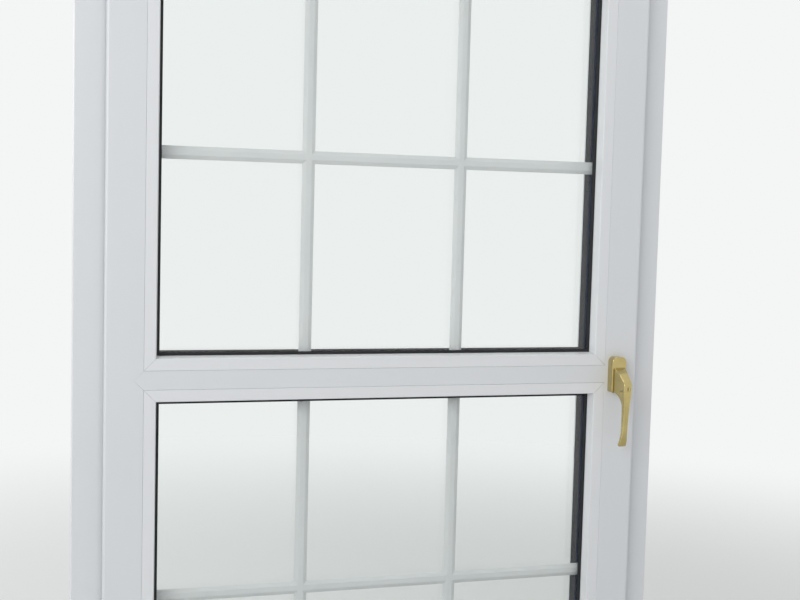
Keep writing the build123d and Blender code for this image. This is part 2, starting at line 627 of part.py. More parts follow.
SASH_STEEL_Y0 = GROOVE_Y + SHOULDER_WIDTH / 2 + WEB
SASH_STEEL_Y1 = SASH_STEEL_Y0 + SASH_STEEL_DEPTH
SASH_INNER_W0 = BODY_W + WALL
SASH_INNER_W1 = FLOOR_W - WALL


def rectangle_face(w0, w1, y0, y1):
    """Return a rectangular section face."""
    return outline([(w0, y0), (w1, y0), (w1, y1), (w0, y1)])


def upstand_chamber(w0, sight):
    """Return the chamber inside an outside upstand."""
    return outline([(w0, GLASS_SEAT_Y + WALL), (sight - WALL, GLASS_SEAT_Y + WALL),
                    (sight - WALL, UPSTAND_BEVEL_Y - WALL / 2),
                    (sight - EDGE_BEVEL - WALL / 2, SASH_OUT_Y - WALL), (w0, SASH_OUT_Y - WALL)])


def sash_chambers():
    """Return the hollow chambers of the sash profile."""
    face_y0 = SASH_ROOM_Y + WALL
    face_y1 = LIP_BACK_Y - SEAL_GROOVE_DEPTH - WALL
    face = rectangle_face(LIP_ROUND, FLOOR_W - CLIP_GROOVE_DEPTH - WEB, face_y0, face_y1)
    shoulder = rectangle_face(SASH_INNER_W0, SASH_INNER_W1, face_y1 + WEB,
                              GROOVE_Y - SHOULDER_WIDTH / 2 - WALL)
    behind = rectangle_face(BODY_W + GROOVE_DEPTH + WEB, SASH_INNER_W1, GROOVE_Y - GROOVE_WIDTH / 2,
                            GROOVE_Y + GROOVE_WIDTH / 2)
    steel = rectangle_face(SASH_INNER_W0, SASH_INNER_W1, SASH_STEEL_Y0, SASH_STEEL_Y1)
    outer = rectangle_face(SASH_INNER_W0, SASH_INNER_W1, SASH_STEEL_Y1 + WEB, SASH_OUT_Y - WALL)
    return [face, shoulder, behind, steel, outer, upstand_chamber(FLOOR_W, SIGHT_W)]


MID_FLOOR = MID_HALF - NIB_HEIGHT
MID_SIGHT = MID_HALF + BEAD_FACE
MID_TIP = HALF_SASH - JOINT_W + MID_HALF


def mid_rail_section():
    """Return the outline of the mid rail profile, symmetric about its centre."""
    right = clip_groove(MID_FLOOR) + [(MID_FLOOR, GLASS_SEAT_Y), (MID_SIGHT, GLASS_SEAT_Y),
                                      (MID_SIGHT, UPSTAND_BEVEL_Y), (MID_SIGHT - EDGE_BEVEL, SASH_OUT_Y)]
    left = [(-w, y) for w, y in reversed(right)]
    return outline(right + left)


def mid_rail_chambers():
    """Return the hollow chambers of the mid rail profile."""
    half = MID_FLOOR - WALL
    face_y0 = SASH_ROOM_Y + WALL
    face_y1 = LIP_BACK_Y - SEAL_GROOVE_DEPTH - WALL
    face = rectangle_face(-half / 2, half / 2, face_y0, face_y1)
    core = rectangle_face(-half, half, face_y1 + WEB, GLASS_SEAT_Y)
    inner = MID_SIGHT - WALL
    y0 = GLASS_SEAT_Y + WALL
    y1 = UPSTAND_BEVEL_Y - WALL / 2
    flat = MID_SIGHT - EDGE_BEVEL - WALL / 2
    outer = outline([(-inner, y0), (inner, y0), (inner, y1), (flat, SASH_OUT_Y - WALL),
                     (-flat, SASH_OUT_Y - WALL), (-inner, y1)])
    return [face, core, outer]


def screw_stations():
    """Return, for each side with a faceplate, where its screws are."""
    middle = SASH_HEIGHT / 2
    inset = BODY_W + CORNER_DRIVE_LEG + CORNER_SCREW_STEP
    return {
        "right": (inset, middle - GEARBOX_SCREW_STEP, middle + GEARBOX_SCREW_STEP,
                  SASH_HEIGHT - inset - BAR_TRAVEL),
        "top": (TOP_BAR_START + CORNER_SCREW_STEP, SASH_WIDTH - inset - BAR_TRAVEL),
        "bottom": (TILT_CAM_STATION + TILT_SCREW_STEP, BOTTOM_CAM_STATION - BOTTOM_SCREW_STEP,
                   BOTTOM_PLATE_END - PLATE_END_SCREW),
    }


def mid_rail_weld_cutters():
    """Return the weld seams where the mid rail meets the two stiles."""
    cutters = []
    length = MID_HALF * 2 ** 0.5
    for side in (-1, 1):
        for up in (-1, 1):
            x = side * (HALF_SASH - JOINT_W)
            angle = degrees(atan2(-up, side))
            cutters.append(weld_line(x, MID_Z + up * MID_HALF, angle, length, SASH_ROOM_Y))
    return cutters


def sash_drain_cutters():
    """Return the drain slots of the bottom rail and the mid rail, and the top rail's vent."""
    cutters = []
    for x in drain_stations():
        x0, x1 = x - DRAIN_LENGTH / 2, x + DRAIN_LENGTH / 2
        for floor in (SASH_BOTTOM + FLOOR_W, MID_Z + MID_FLOOR):
            low = floor + DRAIN_SETBACK
            cutters.append(box_between(x0, x1, GLASS_SEAT_Y - OVERRUN, GLASS_SEAT_Y + WALL + OVERRUN,
                                       low, low + SASH_DRAIN_HEIGHT))
        back = SASH_OUT_Y - WALL
        cutters.append(box_between(x0, x1, back - DRAIN_WIDTH, back - OVERRUN,
                                   SASH_BOTTOM + BODY_W - OVERRUN, SASH_BOTTOM + FLOOR_W + 2 * OVERRUN))
    vent_y = (SASH_STEEL_Y0 + SASH_STEEL_Y1) / 2
    cutters.append(rod((0, vent_y, SASH_TOP - FLOOR_W - OVERRUN), (0, 0, 1), VENT_RADIUS, WALL + 2 * OVERRUN))
    return cutters


def handle_screw_places():
    """Return the heights of the two handle screws."""
    return (MID_Z - HANDLE_SCREW_PITCH / 2, MID_Z + HANDLE_SCREW_PITCH / 2)


def welded_sash():
    """Return the welded sash with its mid rail, machined for the hardware, in one piece."""
    reach = SIGHT_W + OVERRUN
    mid_reach = MID_SIGHT + OVERRUN
    sash = mitred_ring(sash_section(), SASH_RECT, reach)
    sash += pointed_bar(mid_rail_section(), MID_TIP, mid_reach)
    for chamber in sash_chambers():
        sash -= mitred_ring(chamber, SASH_RECT, reach)
    for chamber in mid_rail_chambers():
        sash -= pointed_bar(chamber, MID_TIP, mid_reach)
    sash -= corner_welds(SASH_RECT, 0, JOINT_W, SASH_ROOM_Y)
    sash -= mid_rail_weld_cutters()
    sash -= sash_drain_cutters()
    pocket_y = GEARBOX_DEPTH / 2 + POCKET_GAP
    pocket_z = GEARBOX_HALF_HEIGHT + POCKET_GAP
    sash -= box_between(HALF_SASH - GEARBOX_BACK_W - POCKET_GAP, HALF_SASH - BODY_W + OVERRUN,
                        GROOVE_Y - pocket_y, GROOVE_Y + pocket_y, MID_Z - pocket_z, MID_Z + pocket_z)
    front = SASH_ROOM_Y - OVERRUN
    depth = GROOVE_Y - SASH_ROOM_Y
    sash -= rod((HANDLE_X, front, MID_Z), (0, 1, 0), SPINDLE_HOLE_RADIUS, depth)
    for z in handle_screw_places():
        sash -= rod((HANDLE_X, front, z), (0, 1, 0), HANDLE_SCREW_RADIUS + HOLE_GAP, depth)
    for name, stations in screw_stations().items():
        for station in stations:
            drill = rod((BODY_W - OVERRUN, GROOVE_Y, station), (1, 0, 0), SCREW_RADIUS + HOLE_GAP,
                        SCREW_REACH + 2 * OVERRUN)
            sash -= SASH_RECT.side(name) * drill
    return sash


def sash_frame():
    """Return the sash as its five profiles, welded to each other at the corners and the mid rail."""
    sash = welded_sash()
    middle = pointed_prism(MID_TIP, MID_SIGHT + OVERRUN)
    ring = sash - middle
    members = [ring & mitre_prism(SASH_RECT, name, SIGHT_W + OVERRUN) for name in SIDES]
    return Compound(children=members + [sash & middle])


def sash_steel():
    """Return the steel reinforcement of the sash and the mid rail."""
    w0, w1 = SASH_INNER_W0 + STEEL_GAP, SASH_INNER_W1 - STEEL_GAP
    y0, y1 = SASH_STEEL_Y0 + STEEL_GAP, SASH_STEEL_Y1 - STEEL_GAP
    tubes = []
    for name in SIDES:
        length = SASH_RECT.length(name)
        inset = w1 + STEEL_CORNER_GAP
        tube = box_between(w0, w1, y0, y1, inset, length - inset)
        tube -= box_between(w0 + STEEL_WALL, w1 - STEEL_WALL, y0 + STEEL_WALL, y1 - STEEL_WALL,
                            inset - OVERRUN, length - inset + OVERRUN)
        tubes.append(SASH_RECT.side(name) * tube)
    half = MID_FLOOR - WALL - STEEL_GAP
    x = MID_TIP - MID_SIGHT - STEEL_CORNER_GAP
    y0 = LIP_BACK_Y + STEEL_GAP
    y1 = GLASS_SEAT_Y - STEEL_GAP
    channel = box_between(-x, x, y0, y1, MID_Z - half, MID_Z + half)
    channel -= box_between(-x - OVERRUN, x + OVERRUN, y0 + STEEL_WALL, y1 - STEEL_WALL,
                           MID_Z - half + STEEL_WALL, MID_Z + half - STEEL_WALL)
    tubes.append(channel)
    return Compound(children=tubes)


def sash_gasket():
    """Return the room side seal on the sash lip, cut back where the hinge parts pass."""
    centre = SEAL_INSET + SEAL_GROOVE_WIDTH / 2
    face = seal_section(centre, LIP_BACK_Y, FRAME_ROOM_Y - KNUCKLE_GAP, SASH_SEAL_BULB)
    ring = mitred_ring(face, SASH_RECT, BODY_W)
    x0, x1 = -HALF_SASH - OVERRUN, -HALF_SASH + BODY_W + GASKET_NOTCH_GAP
    notch_z = STAY_THICKNESS / 2 + GASKET_NOTCH_GAP
    ring -= box_between(x0, x1, LIP_BACK_Y, FRAME_ROOM_Y, STAY_Z - notch_z, STAY_Z + notch_z)
    ring -= box_between(x0, x1, LIP_BACK_Y, FRAME_ROOM_Y, SASH_BOTTOM - OVERRUN,
                        TILT_Z + TONGUE_HEIGHT + GASKET_NOTCH_GAP)
    return ring


# Glazing

def bead_section():
    """Return the section of a glazing bead, with its hollow and its clip."""
    joint = JOINT_W + BEAD_JOINT_GAP
    nib_y = SASH_ROOM_Y + NIB_DEPTH + BEAD_JOINT_GAP
    foot = FLOOR_W + BEAD_JOINT_GAP
    clip_y0 = SASH_ROOM_Y + NIB_DEPTH + CLIP_GROOVE_SETBACK + BEAD_JOINT_GAP
    clip_y1 = clip_y0 + CLIP_GROOVE_WIDTH - 2 * BEAD_JOINT_GAP
    clip_w = FLOOR_W - CLIP_GROOVE_DEPTH + BEAD_JOINT_GAP
    face = outline([
        (joint, SASH_ROOM_Y), (SIGHT_W - BEAD_SLOPE, SASH_ROOM_Y), (SIGHT_W, BEAD_BACK_Y),
        (foot + WEB, BEAD_BACK_Y), (foot + WEB, clip_y1), (clip_w, clip_y1), (clip_w, clip_y0),
        (foot, clip_y0), (foot, nib_y), (joint, nib_y)])
    corner = face.vertices().sort_by_distance((SIGHT_W - BEAD_SLOPE, SASH_ROOM_Y))[0]
    face = fillet(corner, BEAD_ROUND)
    hollow = rectangle_face(joint + WEB, SIGHT_W - BEAD_SLOPE - WEB, SASH_ROOM_Y + BEAD_WALL,
                            BEAD_BACK_Y - BEAD_WALL)
    return face - hollow


def beads(light):
    """Return the four mitred beads round one light, by side."""
    face = bead_section()
    return {name: mitred_side(face, light, name, SIGHT_W + OVERRUN, BEAD_MITRE_GAP) for name in SIDES}


def glazing_ring(points, light):
    """Return a ring of a given section round one light."""
    return mitred_ring(outline(points), light, max(w for w, _ in points) + OVERRUN)


def glazing_gasket(light, back, glass):
    """Return the seal between the glass and the bead or upstand behind it, with its slanting lip."""
    way = 1 if glass > back else -1
    root = GLASS_W + GASKET_FOOT
    return glazing_ring([
        (root, back), (SIGHT_W - GASKET_LIP_EDGE, back),
        (SIGHT_W + GASKET_LIP_OUT, back + way * GASKET_LIP_EDGE),
        (GASKET_W, glass - way * GASKET_LIP_TIP), (GASKET_W, glass), (root, glass)], light)


def pane(light, y0):
    """Return one glass pane of a light."""
    return box_between(light.x0 + GLASS_W, light.x1 - GLASS_W, y0, y0 + PANE_THICKNESS,
                       light.z0 + GLASS_W, light.z1 - GLASS_W)


def edge_seal(light):
    """Return the sealant round the unit, outside the spacer."""
    return glazing_ring([(GLASS_W, CAVITY_ROOM_Y), (SPACER_W, CAVITY_ROOM_Y), (SPACER_W, CAVITY_OUT_Y),
                         (GLASS_W, CAVITY_OUT_Y)], light)


def spacer(light):
    """Return the hollow spacer frame with its breather holes."""
    ring = glazing_ring([(SPACER_W, CAVITY_ROOM_Y), (SPACER_SIGHT_W, CAVITY_ROOM_Y),
                         (SPACER_SIGHT_W, CAVITY_OUT_Y), (SPACER_W, CAVITY_OUT_Y)], light)
    ring -= glazing_ring([
        (SPACER_W + SPACER_WALL, CAVITY_ROOM_Y + SPACER_WALL),
        (SPACER_SIGHT_W - SPACER_WALL, CAVITY_ROOM_Y + SPACER_WALL),
        (SPACER_SIGHT_W - SPACER_WALL, CAVITY_OUT_Y - SPACER_WALL),
        (SPACER_W + SPACER_WALL, CAVITY_OUT_Y - SPACER_WALL)], light)
    for name in SIDES:
        hole = rod((SPACER_SIGHT_W + OVERRUN, CAVITY_MID_Y, SPACER_SIGHT_W + BAR_WIDTH), (-1, 0, 0),
                   BREATHER_RADIUS, SPACER_WALL + 2 * OVERRUN)
        ring -= light.side(name) * hole
    return ring


def georgian_bars(light):
    """Return the crossing bars inside one unit, divided evenly over the whole unit."""
    half, flat = BAR_WIDTH / 2, BAR_FLAT / 2
    edge, crown = BAR_EDGE / 2, BAR_DEPTH / 2
    section = outline([(-half, -edge), (-flat, -crown), (flat, -crown), (half, -edge),
                       (half, edge), (flat, crown), (-flat, crown), (-half, edge)])
    x0, x1 = light.x0 + GLASS_W, light.x1 - GLASS_W
    z0, z1 = light.z0 + GLASS_W, light.z1 - GLASS_W
    inset = SPACER_SIGHT_W - GLASS_W
    grid = None
    for column in range(1, BAR_COLUMNS):
        x = x0 + (x1 - x0) * column / BAR_COLUMNS
        plane = Plane(origin=(x, CAVITY_MID_Y, z0 + inset), x_dir=(1, 0, 0), z_dir=(0, 0, 1))
        bar = extrude(plane * section, z1 - z0 - 2 * inset)
        grid = bar if grid is None else grid + bar
    for row in range(1, BAR_ROWS):
        z = z0 + (z1 - z0) * row / BAR_ROWS
        plane = Plane(origin=(x0 + inset, CAVITY_MID_Y, z), x_dir=(0, 0, -1), z_dir=(1, 0, 0))
        grid += extrude(plane * section, x1 - x0 - 2 * inset)
    return grid


def glazing_packers():
    """Return the packers between the units and the rebates, two on each side of each unit."""
    packers = []
    for drop in (0, -LIGHT_DROP):
        for name in SIDES:
            length = UPPER_LIGHT.length(name)
            first = GLASS_W + PACKER_INSET
            for start in (first, length - first - PACKER_LENGTH):
                packer = box_between(FLOOR_W, GLASS_W, GLASS_ROOM_Y, OUTER_PANE_Y, start,
                                     start + PACKER_LENGTH)
                packers.append(Pos(0, 0, drop) * (UPPER_LIGHT.side(name) * packer))
    return Compound(children=packers)


# Locking hardware, drawn in side coordinates (w, y, station) and placed on a side of the sash

def place(name, shape):
    """Return a shape drawn in side coordinates, placed on a side of the sash."""
    return SASH_RECT.side(name) * shape


def faceplate(name, start, end, stations, extra_slots=()):
    """Return a faceplate with slots for its cams and countersunk screw holes."""
    half = FACEPLATE_WIDTH / 2
    plate = box_between(PLATE_W, PLATE_W + FACEPLATE_THICKNESS, GROOVE_Y - half, GROOVE_Y + half, start, end)
    slot = CAM_NECK_RADIUS + CAM_SLOT_GAP
    front, back = PLATE_W - OVERRUN, PLATE_W + FACEPLATE_THICKNESS + OVERRUN
    for station in stations:
        plate -= box_between(front, back, GROOVE_Y - slot, GROOVE_Y + slot, station - slot,
                             station + BAR_TRAVEL + slot)
    for s0, s1, width in extra_slots:
        plate -= box_between(front, back, GROOVE_Y - width / 2, GROOVE_Y + width / 2, s0, s1)
    for station in screw_stations()[name]:
        seat = (front, GROOVE_Y, station)
        hole = rod(seat, (1, 0, 0), SCREW_RADIUS + HOLE_GAP, back - front)
        sink = rod(seat, (1, 0, 0), SCREW_HEAD_RADIUS + HOLE_GAP, SCREW_HEAD_HEIGHT + OVERRUN)
        plate -= hole + sink
    return place(name, plate)


def hardware_screws():
    """Return the screws that hold the faceplates and the handle."""
    screws = handle_screws()
    for name, stations in screw_stations().items():
        for station in stations:
            shank = rod((PLATE_W, GROOVE_Y, station), (1, 0, 0), SCREW_RADIUS, SCREW_REACH)
            head = rod((PLATE_W, GROOVE_Y, station), (1, 0, 0), SCREW_HEAD_RADIUS, SCREW_HEAD_HEIGHT)
            screws.append(place(name, shank + head))
    return Compound(children=screws)


def locking_bar(name, start, end, stations):
    """Return a sliding bar with the holes of its cams and the slots that let the screws pass."""
    half = LOCK_BAR_WIDTH / 2
    bar = box_between(BAR_W, BAR_W + LOCK_BAR_THICKNESS, GROOVE_Y - half, GROOVE_Y + half, start, end)
    slot = SCREW_RADIUS + 3 * HOLE_GAP
    front, back = BAR_W - OVERRUN, BAR_W + LOCK_BAR_THICKNESS + OVERRUN
    for station in screw_stations()[name]:
        bar -= box_between(front, back, GROOVE_Y - slot, GROOVE_Y + slot, station - BAR_TRAVEL - slot,
                           station + slot)
    for station in stations:
        bar -= rod((front, GROOVE_Y, station), (1, 0, 0), CAM_RIVET_RADIUS + RUNNING_GAP, back - front)
    return bar


def cams(name, stations):
    """Return the mushroom cams of one bar, each with the end that is riveted into the bar."""
    pieces = []
    for station in stations:
        head = rod((CAM_TIP_W, GROOVE_Y, station), (1, 0, 0), CAM_HEAD_RADIUS, CAM_HEAD_HEIGHT)
        neck = rod((CAM_TIP_W, GROOVE_Y, station), (1, 0, 0), CAM_NECK_RADIUS, BAR_W - CAM_TIP_W)
        rivet = rod((BAR_W, GROOVE_Y, station), (1, 0, 0), CAM_RIVET_RADIUS, LOCK_BAR_THICKNESS)
        pieces.append(place(name, head + neck + rivet))
    return Compound(children=pieces)


TOOTH_TIP = TOOTH_HEIGHT / 2 - TOOTH_ROOT_GAP / 2
TOOTH_BASE_HALF = TOOTH_PITCH * TOOTH_BASE_SHARE
TOOTH_TIP_HALF = TOOTH_PITCH * TOOTH_TIP_SHARE


def lock_bar():
    """Return the lock side bar, with the rack that the pinion drives."""
    bar = locking_bar("right", CORNER_BAR_END, SASH_HEIGHT - CORNER_BAR_END - BAR_TRAVEL, LOCK_CAM_STATIONS)
    axis = SASH_HEIGHT / 2
    root_w = BAR_W + LOCK_BAR_THICKNESS / 2
    tip_w = PITCH_LINE_W + TOOTH_TIP
    half = PINION_WIDTH / 2
    for tooth in range(-RACK_EXTRA_TEETH, GEAR_TEETH // 2 + RACK_EXTRA_TEETH + 1):
        s = axis - (tooth + 0.5) * TOOTH_PITCH
        points = [(root_w, s - TOOTH_BASE_HALF), (root_w, s + TOOTH_BASE_HALF),
                  (tip_w, s + TOOTH_TIP_HALF), (tip_w, s - TOOTH_TIP_HALF)]
        plane = Plane(origin=(0, GROOVE_Y, 0), x_dir=(1, 0, 0), z_dir=(0, -1, 0))
        bar += extrude(plane * outline(points), half, both=True)
    return place("right", bar)


def drive_pinion():
    """Return the pinion on the spindle, with its journals and square bore."""
    root = PITCH_RADIUS - TOOTH_HEIGHT / 2 - TOOTH_ROOT_GAP / 2
    plane = Plane(origin=(HANDLE_X, GROOVE_Y, MID_Z), x_dir=(1, 0, 0), z_dir=(0, -1, 0))
    gear = extrude(plane * Circle(root), PINION_WIDTH / 2, both=True)
    foot = root - TOOTH_SINK
    tip = PITCH_RADIUS + TOOTH_TIP
    for tooth in range(GEAR_TEETH):
        points = [(foot, -TOOTH_BASE_HALF), (tip, -TOOTH_TIP_HALF), (tip, TOOTH_TIP_HALF),
                  (foot, TOOTH_BASE_HALF)]
        face = Rot(0, 0, 360 * tooth / GEAR_TEETH) * outline(points)
        gear += extrude(plane * face, PINION_WIDTH / 2, both=True)
    gear += extrude(plane * Circle(PINION_JOURNAL / 2), GEARBOX_DEPTH / 2, both=True)
    square = SPINDLE_SQUARE + HOLE_GAP
    gear -= extrude(plane * Rectangle(square, square), GEARBOX_DEPTH, both=True)
    return gear


def gearbox_case():
    """Return the gearbox housing, open towards the lock bar."""
    half = GEARBOX_DEPTH / 2
    inner = half - GEARBOX_CHEEK
    cavity = PITCH_RADIUS + TOOTH_HEIGHT / 2 + TOOTH_ROOT_GAP
    x0, x1 = HALF_SASH - GEARBOX_BACK_W, HALF_SASH - GEARBOX_FRONT_W
    case = box_between(x0, x1, GROOVE_Y - half, GROOVE_Y + half, MID_Z - GEARBOX_HALF_HEIGHT,
                       MID_Z + GEARBOX_HALF_HEIGHT)
    open_x = x1 + OVERRUN
    case -= box_between(HANDLE_X, open_x, GROOVE_Y - inner, GROOVE_Y + inner, MID_Z - cavity, MID_Z + cavity)
    case -= rod((HANDLE_X, GROOVE_Y - inner, MID_Z), (0, 1, 0), cavity, 2 * inner)
    tall = GEARBOX_HALF_HEIGHT + OVERRUN
    case -= box_between(HALF_SASH - PITCH_LINE_W - 2 * TOOTH_HEIGHT, open_x, GROOVE_Y - inner,
                        GROOVE_Y + inner, MID_Z - tall, MID_Z + tall)
    start, through = GROOVE_Y - half - OVERRUN, GEARBOX_DEPTH + 2 * OVERRUN
    case -= rod((HANDLE_X, start, MID_Z), (0, 1, 0), PINION_JOURNAL / 2 + RUNNING_GAP, through)
    for z in handle_screw_places():
        case -= rod((HANDLE_X, start, z), (0, 1, 0), HANDLE_SCREW_RADIUS + HOLE_GAP, through)
    return case


def top_bar():
    """Return the top bar, which carries one cam."""
    return place("top", locking_bar("top", TOP_BAR_START, TOP_BAR_END, (TOP_CAM_STATION,)))


def bottom_bar():
    """Return the bottom bar, which carries a lock cam and the tilt cam."""
    stations = (TILT_CAM_STATION, BOTTOM_CAM_STATION)
    return place("bottom", locking_bar("bottom", CORNER_BAR_END, BOTTOM_BAR_END, stations))


def corner_drive(corner_z, up):
    """Return the corner housing that carries the drive round a corner of the sash."""
    half = LOCK_BAR_WIDTH / 2
    x1 = HALF_SASH - PLATE_W
    deep = BODY_W + GROOVE_DEPTH - PLATE_W - POCKET_GAP
    z1 = corner_z - up * PLATE_W
    leg = CORNER_DRIVE_LEG
    points = [(x1, z1), (x1, z1 - up * leg), (x1 - deep, z1 - up * leg), (x1 - deep, z1 - up * deep),
              (x1 - leg, z1 - up * deep), (x1 - leg, z1)]
    plane = Plane(origin=(0, GROOVE_Y, 0), x_dir=(1, 0, 0), z_dir=(0, -1, 0))
    body = extrude(plane * outline(points), half, both=True)
    inner = CORNER_DRIVE_WALL
    outer = inner + CORNER_CHANNEL
    end = leg + OVERRUN
    channel = [(x1 - inner, z1 - up * inner), (x1 - inner, z1 - up * end), (x1 - outer, z1 - up * end),
               (x1 - outer, z1 - up * outer), (x1 - end, z1 - up * outer), (x1 - end, z1 - up * inner)]
    return body - extrude(plane * outline(channel), half - CORNER_DRIVE_WALL, both=True)


def corner_drives():
    """Return the two corner housings of the lock side."""
    return Compound(children=[corner_drive(SASH_TOP, 1), corner_drive(SASH_BOTTOM, -1)])


def lock_keep(station, with_tilt_hook=False):
    """Return a keep in side coordinates: base plate, hook and, for the tilt keep, a second hook."""
    y0 = GROOVE_Y - CAM_HEAD_RADIUS - KEEP_SIDE_GAP - KEEP_HOOK_THICKNESS
    y1 = GROOVE_Y + CAM_HEAD_RADIUS + KEEP_BACK_GAP
    hook_end = station - CAM_HEAD_RADIUS - KEEP_CLEAR
    hook_start = hook_end - KEEP_HOOK_LENGTH
    plate_end = station + BAR_TRAVEL / 2
    tilt_start = station + BAR_TRAVEL + CAM_HEAD_RADIUS + KEEP_CLEAR
    starts = [hook_start]
    if with_tilt_hook:
        plate_end = tilt_start + KEEP_HOOK_LENGTH + KEEP_END
        starts.append(tilt_start)
    keep = box_between(KEEP_W, KEEP_W + KEEP_BASE, y0, y1, hook_start - KEEP_END, plate_end)
    for start in starts:
        hook = box_between(KEEP_W + KEEP_BASE / 2, KEEP_W + KEEP_HOOK_HEIGHT, y0, y0 + KEEP_HOOK_THICKNESS,
                           start, start + KEEP_HOOK_LENGTH)
        keep += chamfer(hook.edges().filter_by(Axis.Y).group_by(Axis.X)[-1], KEEP_BASE)
    for screw in (hook_start + KEEP_SCREW_START, plate_end - KEEP_SCREW_END):
        keep -= rod((KEEP_W - OVERRUN, y1 - KEEP_SCREW_SIDE, screw), (1, 0, 0), SCREW_RADIUS,
                    KEEP_BASE + 2 * OVERRUN)
    return keep


def lock_keeps():
    """Return the keeps beside the lock cams, the top cam and the bottom cam."""
    keeps = [place("right", lock_keep(station)) for station in LOCK_CAM_STATIONS]
    keeps += [place("top", lock_keep(TOP_CAM_STATION)), place("bottom", lock_keep(BOTTOM_CAM_STATION))]
    return Compound(children=keeps)


def tilt_keep():
    """Return the keep that holds the bottom rail in both the closed and the tilt position."""
    return place("bottom", lock_keep(TILT_CAM_STATION, with_tilt_hook=True))


def runup_block():
    """Return the nylon block that lifts the free corner of the sash as it closes."""
    top = BODY_W - RUNUP_GAP
    half = RUNUP_DEPTH / 2
    centre = (SASH_STEEL_Y0 + SASH_STEEL_Y1) / 2 - RUNUP_SHIFT
    block = box_between(KEEP_W, top, centre - half, centre + half, RUNUP_STATION - RUNUP_LENGTH / 2,
                        RUNUP_STATION + RUNUP_LENGTH / 2)
    block = chamfer(block.edges().filter_by(Axis.Z).group_by(Axis.X)[-1], RUNUP_BEVEL)
    return place("bottom", block)


# Hinge side

def bracket(z0, z1, lugs):
    """Return a hinge bracket on the frame's room face, with its lugs round the pin axis."""
    x0 = -HALF_FRAME + BRACKET_SIDE_INSET
    plate = box_between(x0, x0 + BRACKET_WIDTH, FRAME_ROOM_Y - BRACKET_THICKNESS, FRAME_ROOM_Y, z0, z1)
    plate = fillet(plate.edges().filter_by(Axis.Y), BRACKET_THICKNESS)
    for low, high in lugs:
        lug = box_between(HINGE_X - KNUCKLE_RADIUS, HINGE_X + KNUCKLE_RADIUS, HINGE_Y,
                          FRAME_ROOM_Y - BRACKET_THICKNESS / 2, low, high)
        lug += rod((HINGE_X, HINGE_Y, low), (0, 0, 1), KNUCKLE_RADIUS, high - low)
        plate += lug
    for x, z in bracket_screw_places():
        if z0 < z < z1:
            plate -= rod((x, FRAME_ROOM_Y - BRACKET_THICKNESS - OVERRUN, z), (0, 1, 0),
                         BRACKET_SCREW_RADIUS + HOLE_GAP, BRACKET_THICKNESS + 2 * OVERRUN)
    return plate


PIVOT_BLOCK_Z0 = TILT_Z - PIVOT_BLOCK_DROP
PIVOT_BLOCK_Z1 = PIVOT_BLOCK_Z0 + PIVOT_BLOCK_HEIGHT
PIVOT_LUG_Z1 = PIVOT_BLOCK_Z0 - KNUCKLE_GAP
STAY_LUG_LOW = STAY_Z - STAY_KNUCKLE_HEIGHT / 2 - KNUCKLE_GAP
STAY_LUG_HIGH = STAY_Z + STAY_KNUCKLE_HEIGHT / 2 + KNUCKLE_GAP


def pivot_bearing():
    """Return the bottom bracket with the pin that carries the weight of the sash."""
    lug = (PIVOT_LUG_Z1 - PIVOT_LUG_HEIGHT, PIVOT_LUG_Z1)
    pin = rod((HINGE_X, HINGE_Y, PIVOT_LUG_Z1 - OVERRUN), (0, 0, 1), HINGE_PIN_RADIUS, PIVOT_BLOCK_HEIGHT)
    return bracket(BRACKET_INSET, BRACKET_INSET + BRACKET_HEIGHT, [lug]) + pin


def stay_bearing():
    """Return the top bracket with the two lugs that hold the stay pin."""
    lugs = [(STAY_LUG_LOW - STAY_LUG_HEIGHT, STAY_LUG_LOW), (STAY_LUG_HIGH, STAY_LUG_HIGH + STAY_LUG_HEIGHT)]
    body = bracket(FRAME_HEIGHT - BRACKET_INSET - BRACKET_HEIGHT, FRAME_HEIGHT - BRACKET_INSET, lugs)
    low, high = lugs[0][0] - OVERRUN, lugs[1][1] + OVERRUN
    return body - rod((HINGE_X, HINGE_Y, low), (0, 0, 1), HINGE_PIN_RADIUS, high - low)


def stay_pin():
    """Return the pin of the top hinge, with its head."""
    low = STAY_LUG_LOW - STAY_LUG_HEIGHT
    high = STAY_LUG_HIGH + STAY_LUG_HEIGHT
    pin = rod((HINGE_X, HINGE_Y, low), (0, 0, 1), HINGE_PIN_RADIUS, high - low)
    return pin + rod((HINGE_X, HINGE_Y, high), (0, 0, 1), PIN_HEAD_RADIUS, PIN_HEAD_HEIGHT)


def bracket_cover(z0, z1):
    """Return the plastic cap over the screws of a hinge bracket."""
    x0 = -HALF_FRAME + BRACKET_SIDE_INSET
    back = FRAME_ROOM_Y - BRACKET_THICKNESS
    cap = box_between(x0, x0 + COVER_WIDTH, back - COVER_DEPTH, back, z0, z1)
    cap = fillet(cap.edges().filter_by(Axis.Z).group_by(Axis.Y)[0], COVER_ROUND)
    return cap - box_between(x0 + COVER_WALL, x0 + COVER_WIDTH - COVER_WALL, back - COVER_DEPTH + COVER_WALL,
                             back + OVERRUN, z0 + COVER_WALL, z1 - COVER_WALL)


def bracket_covers():
    """Return the caps of the two hinge brackets."""
    top = FRAME_HEIGHT - BRACKET_INSET
    return Compound(children=[bracket_cover(BRACKET_INSET, BRACKET_INSET + BRACKET_HEIGHT),
                              bracket_cover(top - BRACKET_HEIGHT, top)])


def bracket_screws():
    """Return the screws of the two hinge brackets."""
    screws = []
    front = FRAME_ROOM_Y - BRACKET_THICKNESS - BRACKET_HEAD_HEIGHT
    for x, z in bracket_screw_places():
        shank = rod((x, front, z), (0, 1, 0), BRACKET_SCREW_RADIUS, BRACKET_SCREW_LENGTH)
        head = rod((x, front, z), (0, 1, 0), SCREW_HEAD_RADIUS, BRACKET_HEAD_HEIGHT)
        screws.append(shank + head)
    return Compound(children=screws)


